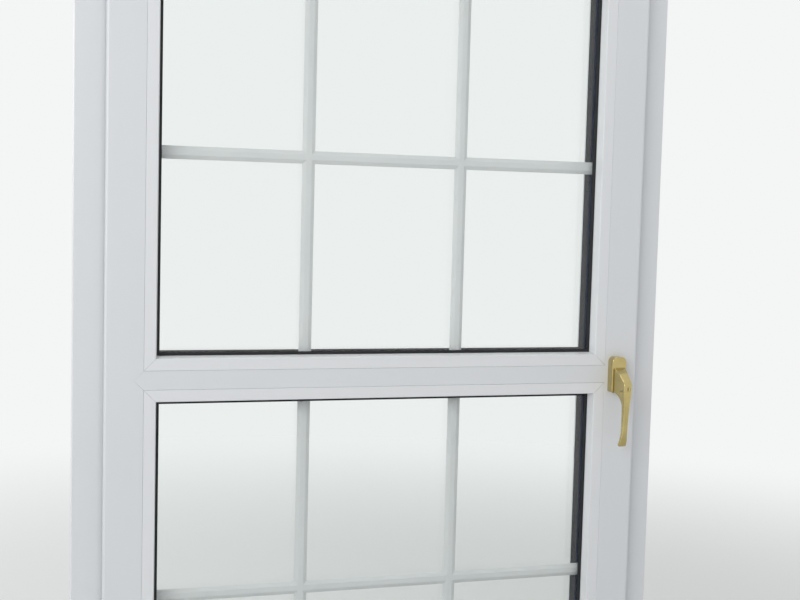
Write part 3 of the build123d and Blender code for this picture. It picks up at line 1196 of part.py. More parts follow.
def pivot_block():
    """Return the block that turns on the bottom pin."""
    block = rod((HINGE_X, HINGE_Y, PIVOT_BLOCK_Z0), (0, 0, 1), KNUCKLE_RADIUS, PIVOT_BLOCK_HEIGHT)
    block = chamfer(block.edges().group_by(Axis.Z)[-1], PIVOT_BLOCK_EDGE)
    block -= rod((HINGE_X, HINGE_Y, PIVOT_BLOCK_Z0 - OVERRUN), (0, 0, 1), HINGE_PIN_RADIUS + RUNNING_GAP,
                 PIVOT_BLOCK_HEIGHT)
    return block - rod((TILT_PIN_X0, HINGE_Y, TILT_Z), (1, 0, 0), TILT_PIN_RADIUS, KNUCKLE_RADIUS)


TILT_PIN_X0 = HINGE_X + (KNUCKLE_RADIUS + HINGE_PIN_RADIUS) / 2
TILT_EYE_X0 = HINGE_X + KNUCKLE_RADIUS + KNUCKLE_GAP
TILT_EYE_X1 = TILT_EYE_X0 + TILT_EYE_WIDTH


def tilt_pin():
    """Return the stud of the pivot block, on which the sash tilts."""
    return rod((TILT_PIN_X0, HINGE_Y, TILT_Z), (1, 0, 0), TILT_PIN_RADIUS, TILT_EYE_X1 - TILT_PIN_X0)


def corner_hinge():
    """Return the sash's bottom hinge: eye, tongue past the seal, and body on the sash edge."""
    eye = rod((TILT_EYE_X0, HINGE_Y, TILT_Z), (1, 0, 0), TILT_EYE_RADIUS, TILT_EYE_WIDTH)
    y0, y1 = TONGUE_Y - TONGUE_THICKNESS / 2, TONGUE_Y + TONGUE_THICKNESS / 2
    edge_x = -HALF_FRAME + FRAME_FACE + REBATE_RUN_GAP
    body_x1 = -HALF_SASH + BODY_W
    body_x0 = max(edge_x, body_x1 - HINGE_BODY_THICKNESS)
    top = TILT_Z + TONGUE_HEIGHT
    foot = TILT_Z - TONGUE_DROP
    hinge = eye + box_between(TILT_EYE_X0, TILT_EYE_X1, HINGE_Y, y1, foot, top)
    hinge += box_between(TILT_EYE_X0, body_x1, y0, y1, foot, top)
    low = FRAME_FACE + REBATE_RUN_GAP
    hinge += box_between(body_x0, body_x1, y0, y0 + HINGE_BODY_DEPTH, low, low + HINGE_BODY_HEIGHT)
    return hinge - rod((TILT_EYE_X0 - OVERRUN, HINGE_Y, TILT_Z), (1, 0, 0), TILT_PIN_RADIUS + RUNNING_GAP,
                       TILT_EYE_WIDTH + 2 * OVERRUN)


def stay_arm():
    """Return the arm of the top hinge, with the riveted stud that runs in the top rail's slot."""
    y0, y1 = TONGUE_Y - TONGUE_THICKNESS / 2, TONGUE_Y + TONGUE_THICKNESS / 2
    edge_x = -HALF_FRAME + FRAME_FACE + REBATE_RUN_GAP
    half = STAY_WIDTH / 2
    front = LIP_BACK_Y + STAY_BACK_GAP
    neck_x = HINGE_X + KNUCKLE_RADIUS - STAY_NECK_LAP
    bend_x = edge_x + STAY_BEND_END
    arm = outline([(neck_x, y0), (edge_x + STAY_BEND_START, y0), (bend_x, front), (STUD_X, GROOVE_Y - half),
                   (STUD_X, GROOVE_Y + half), (bend_x, front + STAY_WIDTH), (edge_x, front + half),
                   (edge_x, y1), (neck_x, y1)])
    body = extrude(Plane.XY.offset(STAY_Z - STAY_THICKNESS / 2) * arm, STAY_THICKNESS)
    body += rod((STUD_X, GROOVE_Y, STAY_Z - STAY_THICKNESS / 2), (0, 0, 1), half, STAY_THICKNESS)
    low = STAY_Z - STAY_KNUCKLE_HEIGHT / 2
    body += rod((HINGE_X, HINGE_Y, low), (0, 0, 1), KNUCKLE_RADIUS, STAY_KNUCKLE_HEIGHT)
    body += box_between(HINGE_X + KNUCKLE_RADIUS / 2, HINGE_X + KNUCKLE_RADIUS, HINGE_Y, y1,
                        STAY_Z - STAY_THICKNESS / 2, STAY_Z + STAY_THICKNESS / 2)
    body -= rod((HINGE_X, HINGE_Y, low - OVERRUN), (0, 0, 1), HINGE_PIN_RADIUS + RUNNING_GAP,
                STAY_KNUCKLE_HEIGHT + 2 * OVERRUN)
    tip_z = SASH_TOP - BODY_W - GROOVE_DEPTH + STAY_STUD_GAP
    return body + rod((STUD_X, GROOVE_Y, STAY_Z), (0, 0, -1), STAY_STUD_RADIUS, STAY_Z - tip_z)


# Handle

def handle_outline(shrink=0.0):
    """Return the elevation of the handle base: round shoulders above, small corners below."""
    width = HANDLE_BASE_WIDTH - 2 * shrink
    height = HANDLE_BASE_HEIGHT - 2 * shrink
    face = Rectangle(width, height)
    upper = face.vertices().group_by(Axis.Y)[-1]
    face = fillet(upper, HANDLE_BASE_TOP_ROUND - shrink)
    lower = face.vertices().group_by(Axis.Y)[0]
    return fillet(lower, HANDLE_BASE_FOOT_ROUND - shrink / 2)


def handle_plane(distance=0.0):
    """Return the plane parallel to the sash face, a distance in front of it, facing the room."""
    return Plane(origin=(HANDLE_X, SASH_ROOM_Y - distance, MID_Z), x_dir=(1, 0, 0), z_dir=(0, -1, 0))


def handle_base():
    """Return the plate that the screws hold to the sash, with its bearing hole."""
    plate = extrude(handle_plane() * handle_outline(HANDLE_COVER_WALL + HOLE_GAP), HANDLE_PLATE_THICKNESS)
    through = HANDLE_PLATE_THICKNESS + 2 * OVERRUN
    plate -= extrude(handle_plane(-OVERRUN) * Circle(BASE_BORE_RADIUS), through)
    for z in handle_screw_places():
        back, seat = SASH_ROOM_Y + OVERRUN, SASH_ROOM_Y - HANDLE_HEAD_SEAT
        plate -= rod((HANDLE_X, back, z), (0, -1, 0), HANDLE_SCREW_RADIUS + HOLE_GAP, through)
        plate -= rod((HANDLE_X, seat, z), (0, -1, 0), HANDLE_SCREW_HEAD + HOLE_GAP, HANDLE_PLATE_THICKNESS)
    return plate


def handle_cover():
    """Return the decorative cover over the base plate and its screws."""
    cover = extrude(handle_plane() * handle_outline(), HANDLE_BASE_DEPTH)
    front = cover.faces().sort_by(Axis.Y)[0]
    cover = fillet(front.edges(), HANDLE_COVER_EDGE)
    cover -= extrude(handle_plane(-OVERRUN) * handle_outline(HANDLE_COVER_WALL),
                     HANDLE_BASE_DEPTH - HANDLE_COVER_WALL + OVERRUN)
    return cover - extrude(handle_plane() * Circle(HANDLE_NECK_RADIUS + 2 * RUNNING_GAP),
                           HANDLE_BASE_DEPTH + OVERRUN)


def handle_screws():
    """Return the two screws of the handle."""
    screws = []
    for z in handle_screw_places():
        front = SASH_ROOM_Y - HANDLE_PLATE_THICKNESS
        start = (HANDLE_X, front, z)
        shank = rod(start, (0, 1, 0), HANDLE_SCREW_RADIUS, GROOVE_Y + GEARBOX_DEPTH / 2 - front)
        head = rod(start, (0, 1, 0), HANDLE_SCREW_HEAD, HANDLE_PLATE_THICKNESS - HANDLE_HEAD_SEAT)
        screws.append(shank + head)
    return screws


def spindle():
    """Return the square spindle from the lever to the pinion."""
    start = SASH_ROOM_Y - HANDLE_BASE_DEPTH - LEVER_GAP - SPINDLE_IN_LEVER
    plane = Plane(origin=(HANDLE_X, start, MID_Z), x_dir=(1, 0, 0), z_dir=(0, 1, 0))
    return extrude(plane * Rectangle(SPINDLE_SQUARE, SPINDLE_SQUARE), GROOVE_Y + GEARBOX_DEPTH / 2 - start)


def lever_hub():
    """Return the lever's hub: a flat-sided block that rises from the base to the grip."""
    face = outline([(distance, height) for distance, height, _ in HUB_PROFILE])
    for distance, height, radius in HUB_PROFILE:
        if radius:
            face = fillet(face.vertices().sort_by_distance((distance, height))[0], radius)
    plane = Plane(origin=(HANDLE_X, SASH_ROOM_Y, MID_Z), x_dir=(0, -1, 0), z_dir=(-1, 0, 0))
    hub = extrude(plane * face, LEVER_ROOT_HALF, both=True)
    root, front = HUB_ROOT - OVERRUN, LEVER_FRONT + OVERRUN
    plan = outline([(-LEVER_ROOT_HALF, root), (LEVER_ROOT_HALF, root), (LEVER_FRONT_HALF, front),
                    (-LEVER_FRONT_HALF, front)])
    plan_plane = Plane(origin=(HANDLE_X, SASH_ROOM_Y, MID_Z), x_dir=(-1, 0, 0), z_dir=(0, 0, 1))
    hub &= extrude(plan_plane * plan, LEVER_LENGTH, both=True)
    sides = hub.faces().filter_by(lambda f: abs(f.normal_at().X) > 0.9)
    edges = ShapeList([edge for side in sides for edge in side.edges()])
    return chamfer(edges, LEVER_EDGE)


def lever_grip():
    """Return the grip: rounded sections lofted from the hub to the flared tip."""
    faces = []
    for z, distance, width, thickness in GRIP_STATIONS:
        plane = Plane(origin=(HANDLE_X, SASH_ROOM_Y - distance, MID_Z + z), x_dir=(1, 0, 0), z_dir=(0, 0, 1))
        faces.append(plane * RectangleRounded(width, thickness, min(GRIP_ROUND, thickness * 0.4)))
    grip = loft(faces)
    tip = grip.faces().sort_by(Axis.Z)[0]
    return fillet(tip.edges(), TIP_ROUND)


def handle_lever():
    """Return the lever with its neck, square socket and key bore."""
    lever = lever_hub() + lever_grip()
    neck = extrude(handle_plane(HANDLE_PLATE_THICKNESS + LEVER_GAP) * Circle(HANDLE_NECK_RADIUS),
                   HANDLE_BASE_DEPTH - HANDLE_PLATE_THICKNESS + OVERRUN)
    lever += neck
    square = SPINDLE_SQUARE + HOLE_GAP
    lever -= extrude(handle_plane() * Rectangle(square, square), HUB_ROOT + SPINDLE_IN_LEVER)
    return lever - rod((HANDLE_X, SASH_ROOM_Y - LEVER_FRONT - OVERRUN, MID_Z - KEY_BARREL_DROP), (0, 1, 0),
                       KEY_BARREL_RADIUS + RUNNING_GAP, KEY_BARREL_DEPTH + OVERRUN)


def key_barrel():
    """Return the small lock barrel in the front of the lever, with its key slot."""
    front = SASH_ROOM_Y - LEVER_FRONT + KEY_SINK
    z = MID_Z - KEY_BARREL_DROP
    barrel = rod((HANDLE_X, front, z), (0, 1, 0), KEY_BARREL_RADIUS, KEY_BARREL_DEPTH - 2 * KNUCKLE_GAP)
    return barrel - box_between(HANDLE_X - KEY_SLOT_WIDTH / 2, HANDLE_X + KEY_SLOT_WIDTH / 2,
                                front - OVERRUN, front + KEY_SLOT_DEPTH,
                                z - KEY_SLOT_LENGTH / 2, z + KEY_SLOT_LENGTH / 2)


def light_nodes():
    """Return the glazing of both lights; the lower light repeats the upper one."""
    upper = {
        "inner_pane": pane(UPPER_LIGHT, GLASS_ROOM_Y),
        "outer_pane": pane(UPPER_LIGHT, CAVITY_OUT_Y),
        "spacer": spacer(UPPER_LIGHT),
        "edge_seal": edge_seal(UPPER_LIGHT),
        "georgian_bars": georgian_bars(UPPER_LIGHT),
        "bead_gasket": glazing_gasket(UPPER_LIGHT, BEAD_BACK_Y, GLASS_ROOM_Y),
        "outside_gasket": glazing_gasket(UPPER_LIGHT, GLASS_SEAT_Y, OUTER_PANE_Y),
    }
    for name, bead in beads(UPPER_LIGHT).items():
        upper[f"bead_{name}"] = bead
    nodes = {}
    for name, shape in upper.items():
        nodes[f"upper_{name}"] = shape
        nodes[f"lower_{name}"] = Pos(0, 0, -LIGHT_DROP) * shape
    return nodes


def all_nodes():
    """Return every piece of the window by name."""
    end = BODY_W + CORNER_DRIVE_LEG + FACEPLATE_MARGIN
    reach = STAY_STUD_RADIUS + STAY_SLOT_END
    stay_slot = (STUD_STATION - STAY_SLIDE - reach, STUD_STATION + reach, STAY_SLOT_WIDTH)
    nodes = {
        "outer_frame": outer_frame(),
        "frame_steel": frame_steel(),
        "frame_gasket": frame_gasket(),
        "drain_caps": drain_caps(),
        "lock_keeps": lock_keeps(),
        "tilt_keep": tilt_keep(),
        "runup_block": runup_block(),
        "pivot_bearing": pivot_bearing(),
        "stay_bearing": stay_bearing(),
        "stay_pin": stay_pin(),
        "bracket_covers": bracket_covers(),
        "bracket_screws": bracket_screws(),
        "pivot_block": pivot_block(),
        "tilt_pin": tilt_pin(),
        "stay_arm": stay_arm(),
        "sash_frame": sash_frame(),
        "sash_steel": sash_steel(),
        "sash_gasket": sash_gasket(),
        "glazing_packers": glazing_packers(),
        "corner_hinge": corner_hinge(),
        "lock_faceplate": faceplate("right", end, SASH_HEIGHT - end, LOCK_CAM_STATIONS),
        "top_faceplate": faceplate(
            "top", TOP_PLATE_START, SASH_WIDTH - end, (TOP_CAM_STATION,), (stay_slot,)),
        "bottom_faceplate": faceplate(
            "bottom", end, BOTTOM_PLATE_END, (TILT_CAM_STATION, BOTTOM_CAM_STATION)),
        "hardware_screws": hardware_screws(),
        "gearbox_case": gearbox_case(),
        "corner_drives": corner_drives(),
        "lock_bar": lock_bar(),
        "top_bar": top_bar(),
        "bottom_bar": bottom_bar(),
        "lock_cams": cams("right", LOCK_CAM_STATIONS),
        "top_cam": cams("top", (TOP_CAM_STATION,)),
        "bottom_cams": cams("bottom", (TILT_CAM_STATION, BOTTOM_CAM_STATION)),
        "handle_base": handle_base(),
        "handle_cover": handle_cover(),
        "handle_lever": handle_lever(),
        "spindle": spindle(),
        "drive_pinion": drive_pinion(),
        "key_barrel": key_barrel(),
    }
    nodes.update(light_nodes())
    return nodes


def main():
    """Write every piece to its own STEP file."""
    os.makedirs("parts", exist_ok=True)
    for name, shape in all_nodes().items():
        export_step(shape, f"parts/{name}.step")


main()
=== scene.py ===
"""Dressed scene of a tilt and turn window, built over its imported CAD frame.

Sizes in the classes are millimetres, as in the CAD source: X to the right as seen from the room,
Y to the outside, Z up. Meshes are made in metres, in place, so every object sits at the origin.
"""

import logging
import math
from dataclasses import dataclass
from enum import Enum
from functools import partial
from typing import Any, Callable, Optional

import bmesh
import bpy
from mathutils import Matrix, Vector


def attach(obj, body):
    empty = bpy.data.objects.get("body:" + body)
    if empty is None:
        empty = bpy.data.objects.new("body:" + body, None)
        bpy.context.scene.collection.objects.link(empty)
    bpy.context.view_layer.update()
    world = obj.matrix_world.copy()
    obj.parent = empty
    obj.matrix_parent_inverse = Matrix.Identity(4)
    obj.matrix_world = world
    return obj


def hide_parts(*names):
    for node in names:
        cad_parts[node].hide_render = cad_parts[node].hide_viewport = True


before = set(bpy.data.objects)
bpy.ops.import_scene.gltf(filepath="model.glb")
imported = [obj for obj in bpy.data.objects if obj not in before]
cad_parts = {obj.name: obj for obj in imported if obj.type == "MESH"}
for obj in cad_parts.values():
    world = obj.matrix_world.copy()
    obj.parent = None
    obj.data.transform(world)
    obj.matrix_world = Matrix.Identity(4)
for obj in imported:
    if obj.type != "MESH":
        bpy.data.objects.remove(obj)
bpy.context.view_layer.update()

MM = 0.001
log = logging.getLogger("window")

Socket = bpy.types.NodeSocket
Adder = Callable[..., Any]  # add_node, bound to a tree
Piece = bpy.types.Object
Pair = tuple[float, float]
Point = tuple[float, float, float]
Numbers = tuple[float, ...]
Seat = tuple[Vector, Vector]  # the middle of a screw's seat and the way the screw looks

CLOUD_DETAIL = 3.0  # octaves of mottling and of dust
DUST_COLOUR = "#9D978B"
DUST_PATCH_MM = 9.0
DUST_LEDGE = (0.75, 1.0)  # upward share of the normal where dust starts and where it lies fully
DUST_NOISE = (0.35, 0.7)  # noise of the thinnest and the fullest patches
DUST_THIN = 0.3  # share of dust left in the thinnest patches

MERGE_MM = 0.002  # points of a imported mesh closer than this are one
FLAT_ANGLE = math.radians(0.4)  # faces that lean by less are one face
EASED_FROM, EASED_TO = math.radians(40), math.radians(140)  # bends of the edges that get eased
EASED_STEPS = 2


class Body(Enum):
    """The rigid bodies of the window."""

    FRAME = "frame"
    PIVOT = "pivot"
    STAY = "stay"
    SASH = "sash"
    HANDLE = "handle"
    KEY = "key"
    LOCK = "lock_slider"
    TOP = "top_slider"
    BOTTOM = "bottom_slider"


def linear(code: str) -> tuple[float, float, float, float]:
    """Turn an sRGB hex colour into linear RGBA.

    Args:
        code: Six hex digits after a hash.

    Returns:
        The four linear channels, alpha 1.
    """
    channels = [int(code[i:i + 2], 16) / 255 for i in (1, 3, 5)]
    return (*[c / 12.92 if c <= 0.04045 else ((c + 0.055) / 1.055) ** 2.4 for c in channels], 1.0)


def add_node(tree: bpy.types.NodeTree, kind: str, inputs: Any = (), **settings: Any) -> Any:
    """Add one node with its settings and links.

    Args:
        tree: The tree that gets the node.
        kind: The node's type name.
        inputs: Values or output sockets, in the order of the inputs or by their name or number.
        settings: Attributes of the node.

    Returns:
        The outputs of the new node.
    """
    node = tree.nodes.new(kind)
    for key, value in settings.items():
        setattr(node, key, value)
    for key, value in inputs.items() if isinstance(inputs, dict) else enumerate(inputs):
        for item in value if isinstance(value, list) else [value]:
            if isinstance(item, Socket):
                tree.links.new(item, node.inputs[key])
            else:
                node.inputs[key].default_value = item
    return node.outputs


def emptied(owner: Any) -> Adder:
    """Clear the nodes of a material or a world and return what adds new ones."""
    owner.use_nodes = True
    owner.node_tree.nodes.clear()
    return partial(add_node, owner.node_tree)


def per_metre(size_mm: float) -> float:
    """Return the texture scale that gives features of a size in millimetres."""
    return 1 / (size_mm * MM)


@dataclass(frozen=True)
class Finish:
    """A real surface: its colour, its gloss and its grain.

    The base class is a moulded or extruded plastic skin.
    """

    name: str
    colour: str
    shade: str  # the colour's other reading in the mottling
    roughness: float
    swing: float  # how far roughness wanders either way
    mottle_mm: float
    grain_mm: float  # in a metal, the spacing of its lines
    relief_mm: float
    dust: float = 0.0  # cover of settled dust on faces that look up
    coat: float = 0.0
    metallic: float = 0.0
    transmission: float = 0.0
    ior: float = 1.5
    stretch: float = 1.0  # how far the grain is drawn out along Z
    detail: float = 2.0  # octaves of the grain
    mottle_noise: Pair = (0.3, 0.7)  # noise that reads as the colour and as the shade

    def material(self) -> bpy.types.Material:
        """Return the node material of this finish, made once."""
        made = bpy.data.materials.get(self.name)
        if not made:
            made = bpy.data.materials.new(self.name)
            self.dress(emptied(made))
        return made

    def dress(self, node: Adder) -> None:
        """Set the nodes of this finish.

        Args:
            node: Adds a node to the material.
        """
        place = node("ShaderNodeTexCoord")
        tone = self.tone(node, place["Object"])
        rough = node("ShaderNodeMapRange", (
            tone, 0.0, 1.0, self.roughness - self.swing, self.roughness + self.swing))["Result"]
        drawn = node("ShaderNodeMapping", {"Vector": place["Object"], "Scale": (1.0, 1.0, self.stretch)})
        grain = node("ShaderNodeTexNoise", {
            "Vector": drawn["Vector"], "Scale": per_metre(self.grain_mm), "Detail": self.detail})["Fac"]
        relief = node("ShaderNodeBump", {"Height": grain, "Distance": self.relief_mm * MM})["Normal"]
        shader = node("ShaderNodeBsdfPrincipled", {
            "Base Color": self.paint(node, tone, place), "Metallic": self.metallic, "Roughness": rough,
            "IOR": self.ior, "Transmission Weight": self.transmission, "Coat Weight": self.coat,
            "Normal": relief})[0]
        node("ShaderNodeOutputMaterial", {"Surface": self.close(node, shader)})

    def tone(self, node: Adder, place: Socket) -> Socket:
        """Return the mottling between 0 and 1, in clouds of a real size."""
        cloud = node("ShaderNodeTexNoise", {
            "Vector": place, "Scale": per_metre(self.mottle_mm), "Detail": CLOUD_DETAIL})["Fac"]
        return node("ShaderNodeMapRange", (cloud, *self.mottle_noise, 0.0, 1.0))["Result"]

    def paint(self, node: Adder, tone: Socket, place: Any) -> Any:
        """Return the colour, with dust on the faces that look up.

        Args:
            node: Adds a node to the material.
            tone: Share of the shade.
            place: The texture coordinates.

        Returns:
            The socket of the colour, or the colour itself where it is even.
        """
        colour = node("ShaderNodeMix", {0: tone, 6: linear(self.colour), 7: linear(self.shade)},
                      data_type="RGBA")[2]
        if not self.dust:
            return colour
        up = node("ShaderNodeSeparateXYZ", (place["Normal"],))["Z"]
        ledge = node("ShaderNodeMapRange", (up, *DUST_LEDGE, 0.0, self.dust))["Result"]
        noise = node("ShaderNodeTexNoise", {
            "Vector": place["Object"], "Scale": per_metre(DUST_PATCH_MM), "Detail": CLOUD_DETAIL})["Fac"]
        patch = node("ShaderNodeMapRange", (noise, *DUST_NOISE, DUST_THIN, 1.0))["Result"]
        share = node("ShaderNodeMath", (ledge, patch), operation="MULTIPLY")[0]
        return node("ShaderNodeMix", {0: share, 6: colour, 7: linear(DUST_COLOUR)}, data_type="RGBA")[2]

    def close(self, node: Adder, shader: Socket) -> Socket:
        """Return what goes to the material's output."""
        return shader


@dataclass(frozen=True)
class Metal(Finish):
    """A bare or plated metal with a clouded gloss and fine drawn or rolled lines."""

    metallic: float = 1.0
    stretch: float = 0.04
    detail: float = 4.0


@dataclass(frozen=True)
class Spangled(Finish):
    """Hot-dip galvanised sheet: zinc crystals, as large as the mottling, that differ in tone and gloss."""

    metallic: float = 1.0

    def tone(self, node: Adder, place: Socket) -> Socket:
        """Return the tone of the crystals between 0 and 1."""
        crystals = node("ShaderNodeTexVoronoi", {"Vector": place, "Scale": per_metre(self.mottle_mm)})
        return node("ShaderNodeSeparateXYZ", (crystals["Color"],))["X"]


@dataclass(frozen=True)
class Glass(Finish):
    """Float glass: clear, with the faint draw of the bath, and open to lamp light."""

    transmission: float = 1.0
    ior: float = 1.52
    detail: float = 1.0
    mottle_noise: Pair = (0.45, 0.75)

    def paint(self, node: Adder, tone: Socket, place: Any) -> Any:
        """Return the even colour of the glass."""
        return linear(self.colour)

    def close(self, node: Adder, shader: Socket) -> Socket:
        """Let lamps shine through the pane, so that what stands behind it is lit.

        Args:
            node: Adds a node to the material.
            shader: The glass itself.

        Returns:
            The glass to the eye, and a clear way in the shade's colour to lamp light.
        """
        ray = node("ShaderNodeLightPath")["Is Shadow Ray"]
        open_way = node("ShaderNodeBsdfTransparent", (linear(self.shade),))[0]
        return node("ShaderNodeMixShader", (ray, shader, open_way))[0]


# Grain and lines are drawn coarser than the real ones, of about 0.1 mm and less, so that they show

# Extruded uPVC, welded and cleaned: a cool white skin with a soft gloss and a faint die ripple
UPVC = Finish("extruded_upvc_semi_gloss", "#DFE1E4", "#DCDFE2", 0.34, 0.01, 400.0, 2.5, 0.003, dust=0.3)
# Extruded uPVC bead: a touch lighter and glossier, and wiped clean
BEAD = Finish("extruded_bead_upvc", "#E4E6E8", "#E2E4E7", 0.30, 0.01, 400.0, 2.0, 0.002)
# Injection moulded cap: warmer white with a fine spark-eroded texture
CAP = Finish("moulded_white_cap", "#E4E4E1", "#DCDCD8", 0.38, 0.05, 18.0, 0.5, 0.02, dust=0.3)
# Extruded EPDM: black with a cool blue cast that is painted reflection of the sky, matt, a little greyer
# where it has rubbed
SEAL = Finish("extruded_epdm_black", "#0B0D11", "#12151A", 0.70, 0.06, 40.0, 0.8, 0.01)
# Polysulphide edge seal: blue-black, slightly uneven where it was gunned and struck off; it also paints the
# shade in the spacer's holes
SEALANT_AND_HOLE_SHADE = Finish("gunned_polysulphide_and_hole_shade", "#141B28", "#0E131C", 0.60, 0.08, 6.0, 2.5, 0.15)
# Stoved white on roll-formed aluminium: even, hard white with a satin sheen
STOVED = Finish("stoved_white_bar", "#DADCDD", "#D5D8DA", 0.36, 0.03, 60.0, 0.8, 0.002)
# Powder coat: white with a fine orange peel
POWDER = Finish("white_powder_coat", "#E2E3E1", "#D8DAD8", 0.40, 0.06, 20.0, 0.8, 0.03, dust=0.25)
# Moulded nylon: near black, low sheen, slight flow marks
NYLON = Finish("moulded_nylon_black", "#202124", "#2B2C30", 0.48, 0.08, 9.0, 0.7, 0.02)
# Moulded polypropylene packer: waxy blue
PACKER = Finish("moulded_blue_packer", "#33528C", "#294478", 0.45, 0.07, 12.0, 0.9, 0.02)
# Roll-formed spacer, dark anodised with a dull metal sheen; its navy blue is painted reflection of the sky
# on the dark metal
SPACER = Metal("roll_formed_spacer", "#1F3A66", "#182D50", 0.42, 0.05, 40.0, 0.6, 0.003)
# Polished, lacquered brass: pale olive gold, softly clouded under a thin clear skin
BRASS = Metal("lacquered_brass", "#C6B57A", "#B6A56A", 0.13, 0.02, 30.0, 0.6, 0.001, coat=0.5)
# Zinc-plated, passivated steel of the locking gear: bright grey with fine rolling lines
PLATED = Metal("zinc_plated_steel", "#B9BDBF", "#A7ABAE", 0.30, 0.08, 10.0, 0.6, 0.006)
# Zinc die casting: duller grey with a grainy skin
CASTING = Metal("zinc_die_casting", "#9EA1A3", "#8B8F92", 0.45, 0.08, 8.0, 0.9, 0.02, stretch=1.0)
# Hot-dip galvanised sheet inside the profiles: spangle of about 8 mm
GALVANISED = Spangled("galvanised_sheet", "#B4B8BB", "#8F959A", 0.38, 0.10, 8.0, 1.5, 0.01)
# Clear float glass: nearly neutral in 4 mm, with a trace of green that only gathers through both panes
CLEAR = Glass("clear_float_glass", "#FAFCFB", "#FCFDFC", 0.005, 0.005, 180.0, 60.0, 0.002)


class NodeRecipe:
    """A Geometry Nodes tree with named inputs that ends in a plain, dressed mesh."""

    KINDS = {float: "NodeSocketFloat", int: "NodeSocketInt", tuple: "NodeSocketVector"}

    def __init__(self, name: str, sizes: dict[str, Any]) -> None:
        """Start the tree.

        Args:
            name: Name of the tree.
            sizes: The value of each input, by its name.
        """
        self.tree = bpy.data.node_groups.new(name, "GeometryNodeTree")
        self.node = partial(add_node, self.tree)
        self.values: dict[str, Any] = {}
        face = self.tree.interface
        for way in ("OUTPUT", "INPUT"):
            face.new_socket("Geometry", in_out=way, socket_type="NodeSocketGeometry")
        for label, value in sizes.items():
            socket = face.new_socket(label, in_out="INPUT", socket_type=self.KINDS[type(value)])
            self.values[socket.identifier] = value
        last = face.new_socket("Finish", in_out="INPUT", socket_type="NodeSocketMaterial")
        self.finish_key = last.identifier
        self.start = self.node("NodeGroupInput")

    def finish(self, geometry: Socket) -> None:
        """End the tree: real meshes with their material."""
        real = self.node("GeometryNodeRealizeInstances", (geometry,))[0]
        self.node("NodeGroupOutput", self.node("GeometryNodeSetMaterial", {
            "Geometry": real, "Material": self.start["Finish"]})[:1])

    def apply(self, obj: Piece, finish: Finish) -> None:
        """Run the tree on an object and keep the result as its mesh.

        Args:
            obj: The object that carries the input mesh.
            finish: The finish of the result.
        """
        modifier = obj.modifiers.new(self.tree.name, "NODES")
        modifier.node_group = self.tree
        for key, value in {**self.values, self.finish_key: finish.material()}.items():
            modifier[key] = value
        keep_result(obj)
        obj.data.name = obj.name


def keep_result(obj: Piece) -> None:
    """Make what an object's modifiers give its plain mesh, and drop them."""
    mesh = bpy.data.meshes.new_from_object(obj.evaluated_get(bpy.context.evaluated_depsgraph_get()))
    obj.modifiers.clear()
    obj.data = mesh


def new_object(name: str, verts: list[Any], edges: list[Any], faces: list[Any]) -> Piece:
    """Make an object from vertices in metres.

    Args:
        name: Name of the object.
        verts: Places of the vertices.
        edges: Pairs of vertex numbers.
        faces: Loops of vertex numbers.

    Returns:
        The linked object.
    """
    mesh = bpy.data.meshes.new(name)
    mesh.from_pydata(verts, edges, faces)
    obj = bpy.data.objects.new(name, mesh)
    bpy.context.scene.collection.objects.link(obj)
    return obj


def lofted(name: str, rows: list[list[Vector]], closed: bool = False) -> Piece:
    """Skin loops of points into one closed mesh whose faces look outward.

    Args:
        name: Name of the object.
        rows: The loops in metres, with as many points each.
        closed: Whether the last loop joins the first; otherwise both ends are capped.

    Returns:
        The linked object.
    """
    count, size = len(rows), len(rows[0])
    faces: list[tuple[int, ...]] = []
    for row in range(count if closed else count - 1):
        this, following = row * size, (row + 1) % count * size
        faces += [(this + i, this + (i + 1) % size, following + (i + 1) % size, following + i)
                  for i in range(size)]
    if not closed:
        faces += [tuple(reversed(range(size))), tuple(range((count - 1) * size, count * size))]
    obj = new_object(name, [point for row in rows for point in row], [], faces)
    work = bmesh.new()
    work.from_mesh(obj.data)
    bmesh.ops.recalc_face_normals(work, faces=work.faces)
    work.to_mesh(obj.data)
    work.free()
    return obj


def surface(obj: Piece, finish: Finish, sharp: float = 32.0, even: bool = True) -> None:
    """Give a mesh one finish and smooth shading.

    Args:
        obj: The object.
        finish: Its finish.
        sharp: Bend in degrees over which an edge stays sharp.
        even: Whether the shading is weighed by the faces, so that large ones stay flat.
    """
    obj.data.materials.clear()
    obj.data.materials.append(finish.material())
    for face in obj.data.polygons:
        face.use_smooth = True
    obj.data.set_sharp_from_angle(angle=math.radians(sharp))
    if even:
        obj.modifiers.new("even_shading", "WEIGHTED_NORMAL").keep_sharp = True


@dataclass(frozen=True)
class Opening:
    """A rectangle in elevation, whose sides carry mitred members."""

    left: float
    right: float
    low: float
    high: float

    def corners(self, inset: float, y: float) -> list[Vector]:
        """Return the corners of the rectangle moved inward, counted from the lower left.

        Args:
            inset: Distance inward from every side.
            y: Depth of the loop.

        Returns:
            Four places in metres.
        """
        x0, x1 = self.left + inset, self.right - inset
        z0, z1 = self.low + inset, self.high - inset
        return [Vector((x, y, z)) * MM for x, z in ((x0, z0), (x1, z0), (x1, z1), (x0, z1))]

    def seats(self, inset: float, y: float, look: int, sides: tuple[Numbers, ...]) -> list[Seat]:
        """Return screw seats along three sides of the rectangle.

        Args:
            inset: Distance of the seats inward from their side.
            y: Their depth.
            look: 1 for screws that look outward from the rectangle, -1 for inward.
            sides: Heights of those on the right, and places along X of those at the top and the bottom.

        Returns:
            The seats, in millimetres.
        """
        right, top, bottom = sides
        return ([(Vector((self.right - inset, y, z)), Vector((look, 0, 0))) for z in right]
                + [(Vector((x, y, self.high - inset)), Vector((0, 0, look))) for x in top]
                + [(Vector((x, y, self.low + inset)), Vector((0, 0, -look))) for x in bottom])


SASH_EDGE = Opening(-393.0, 393.0, 40.0, 1352.0)


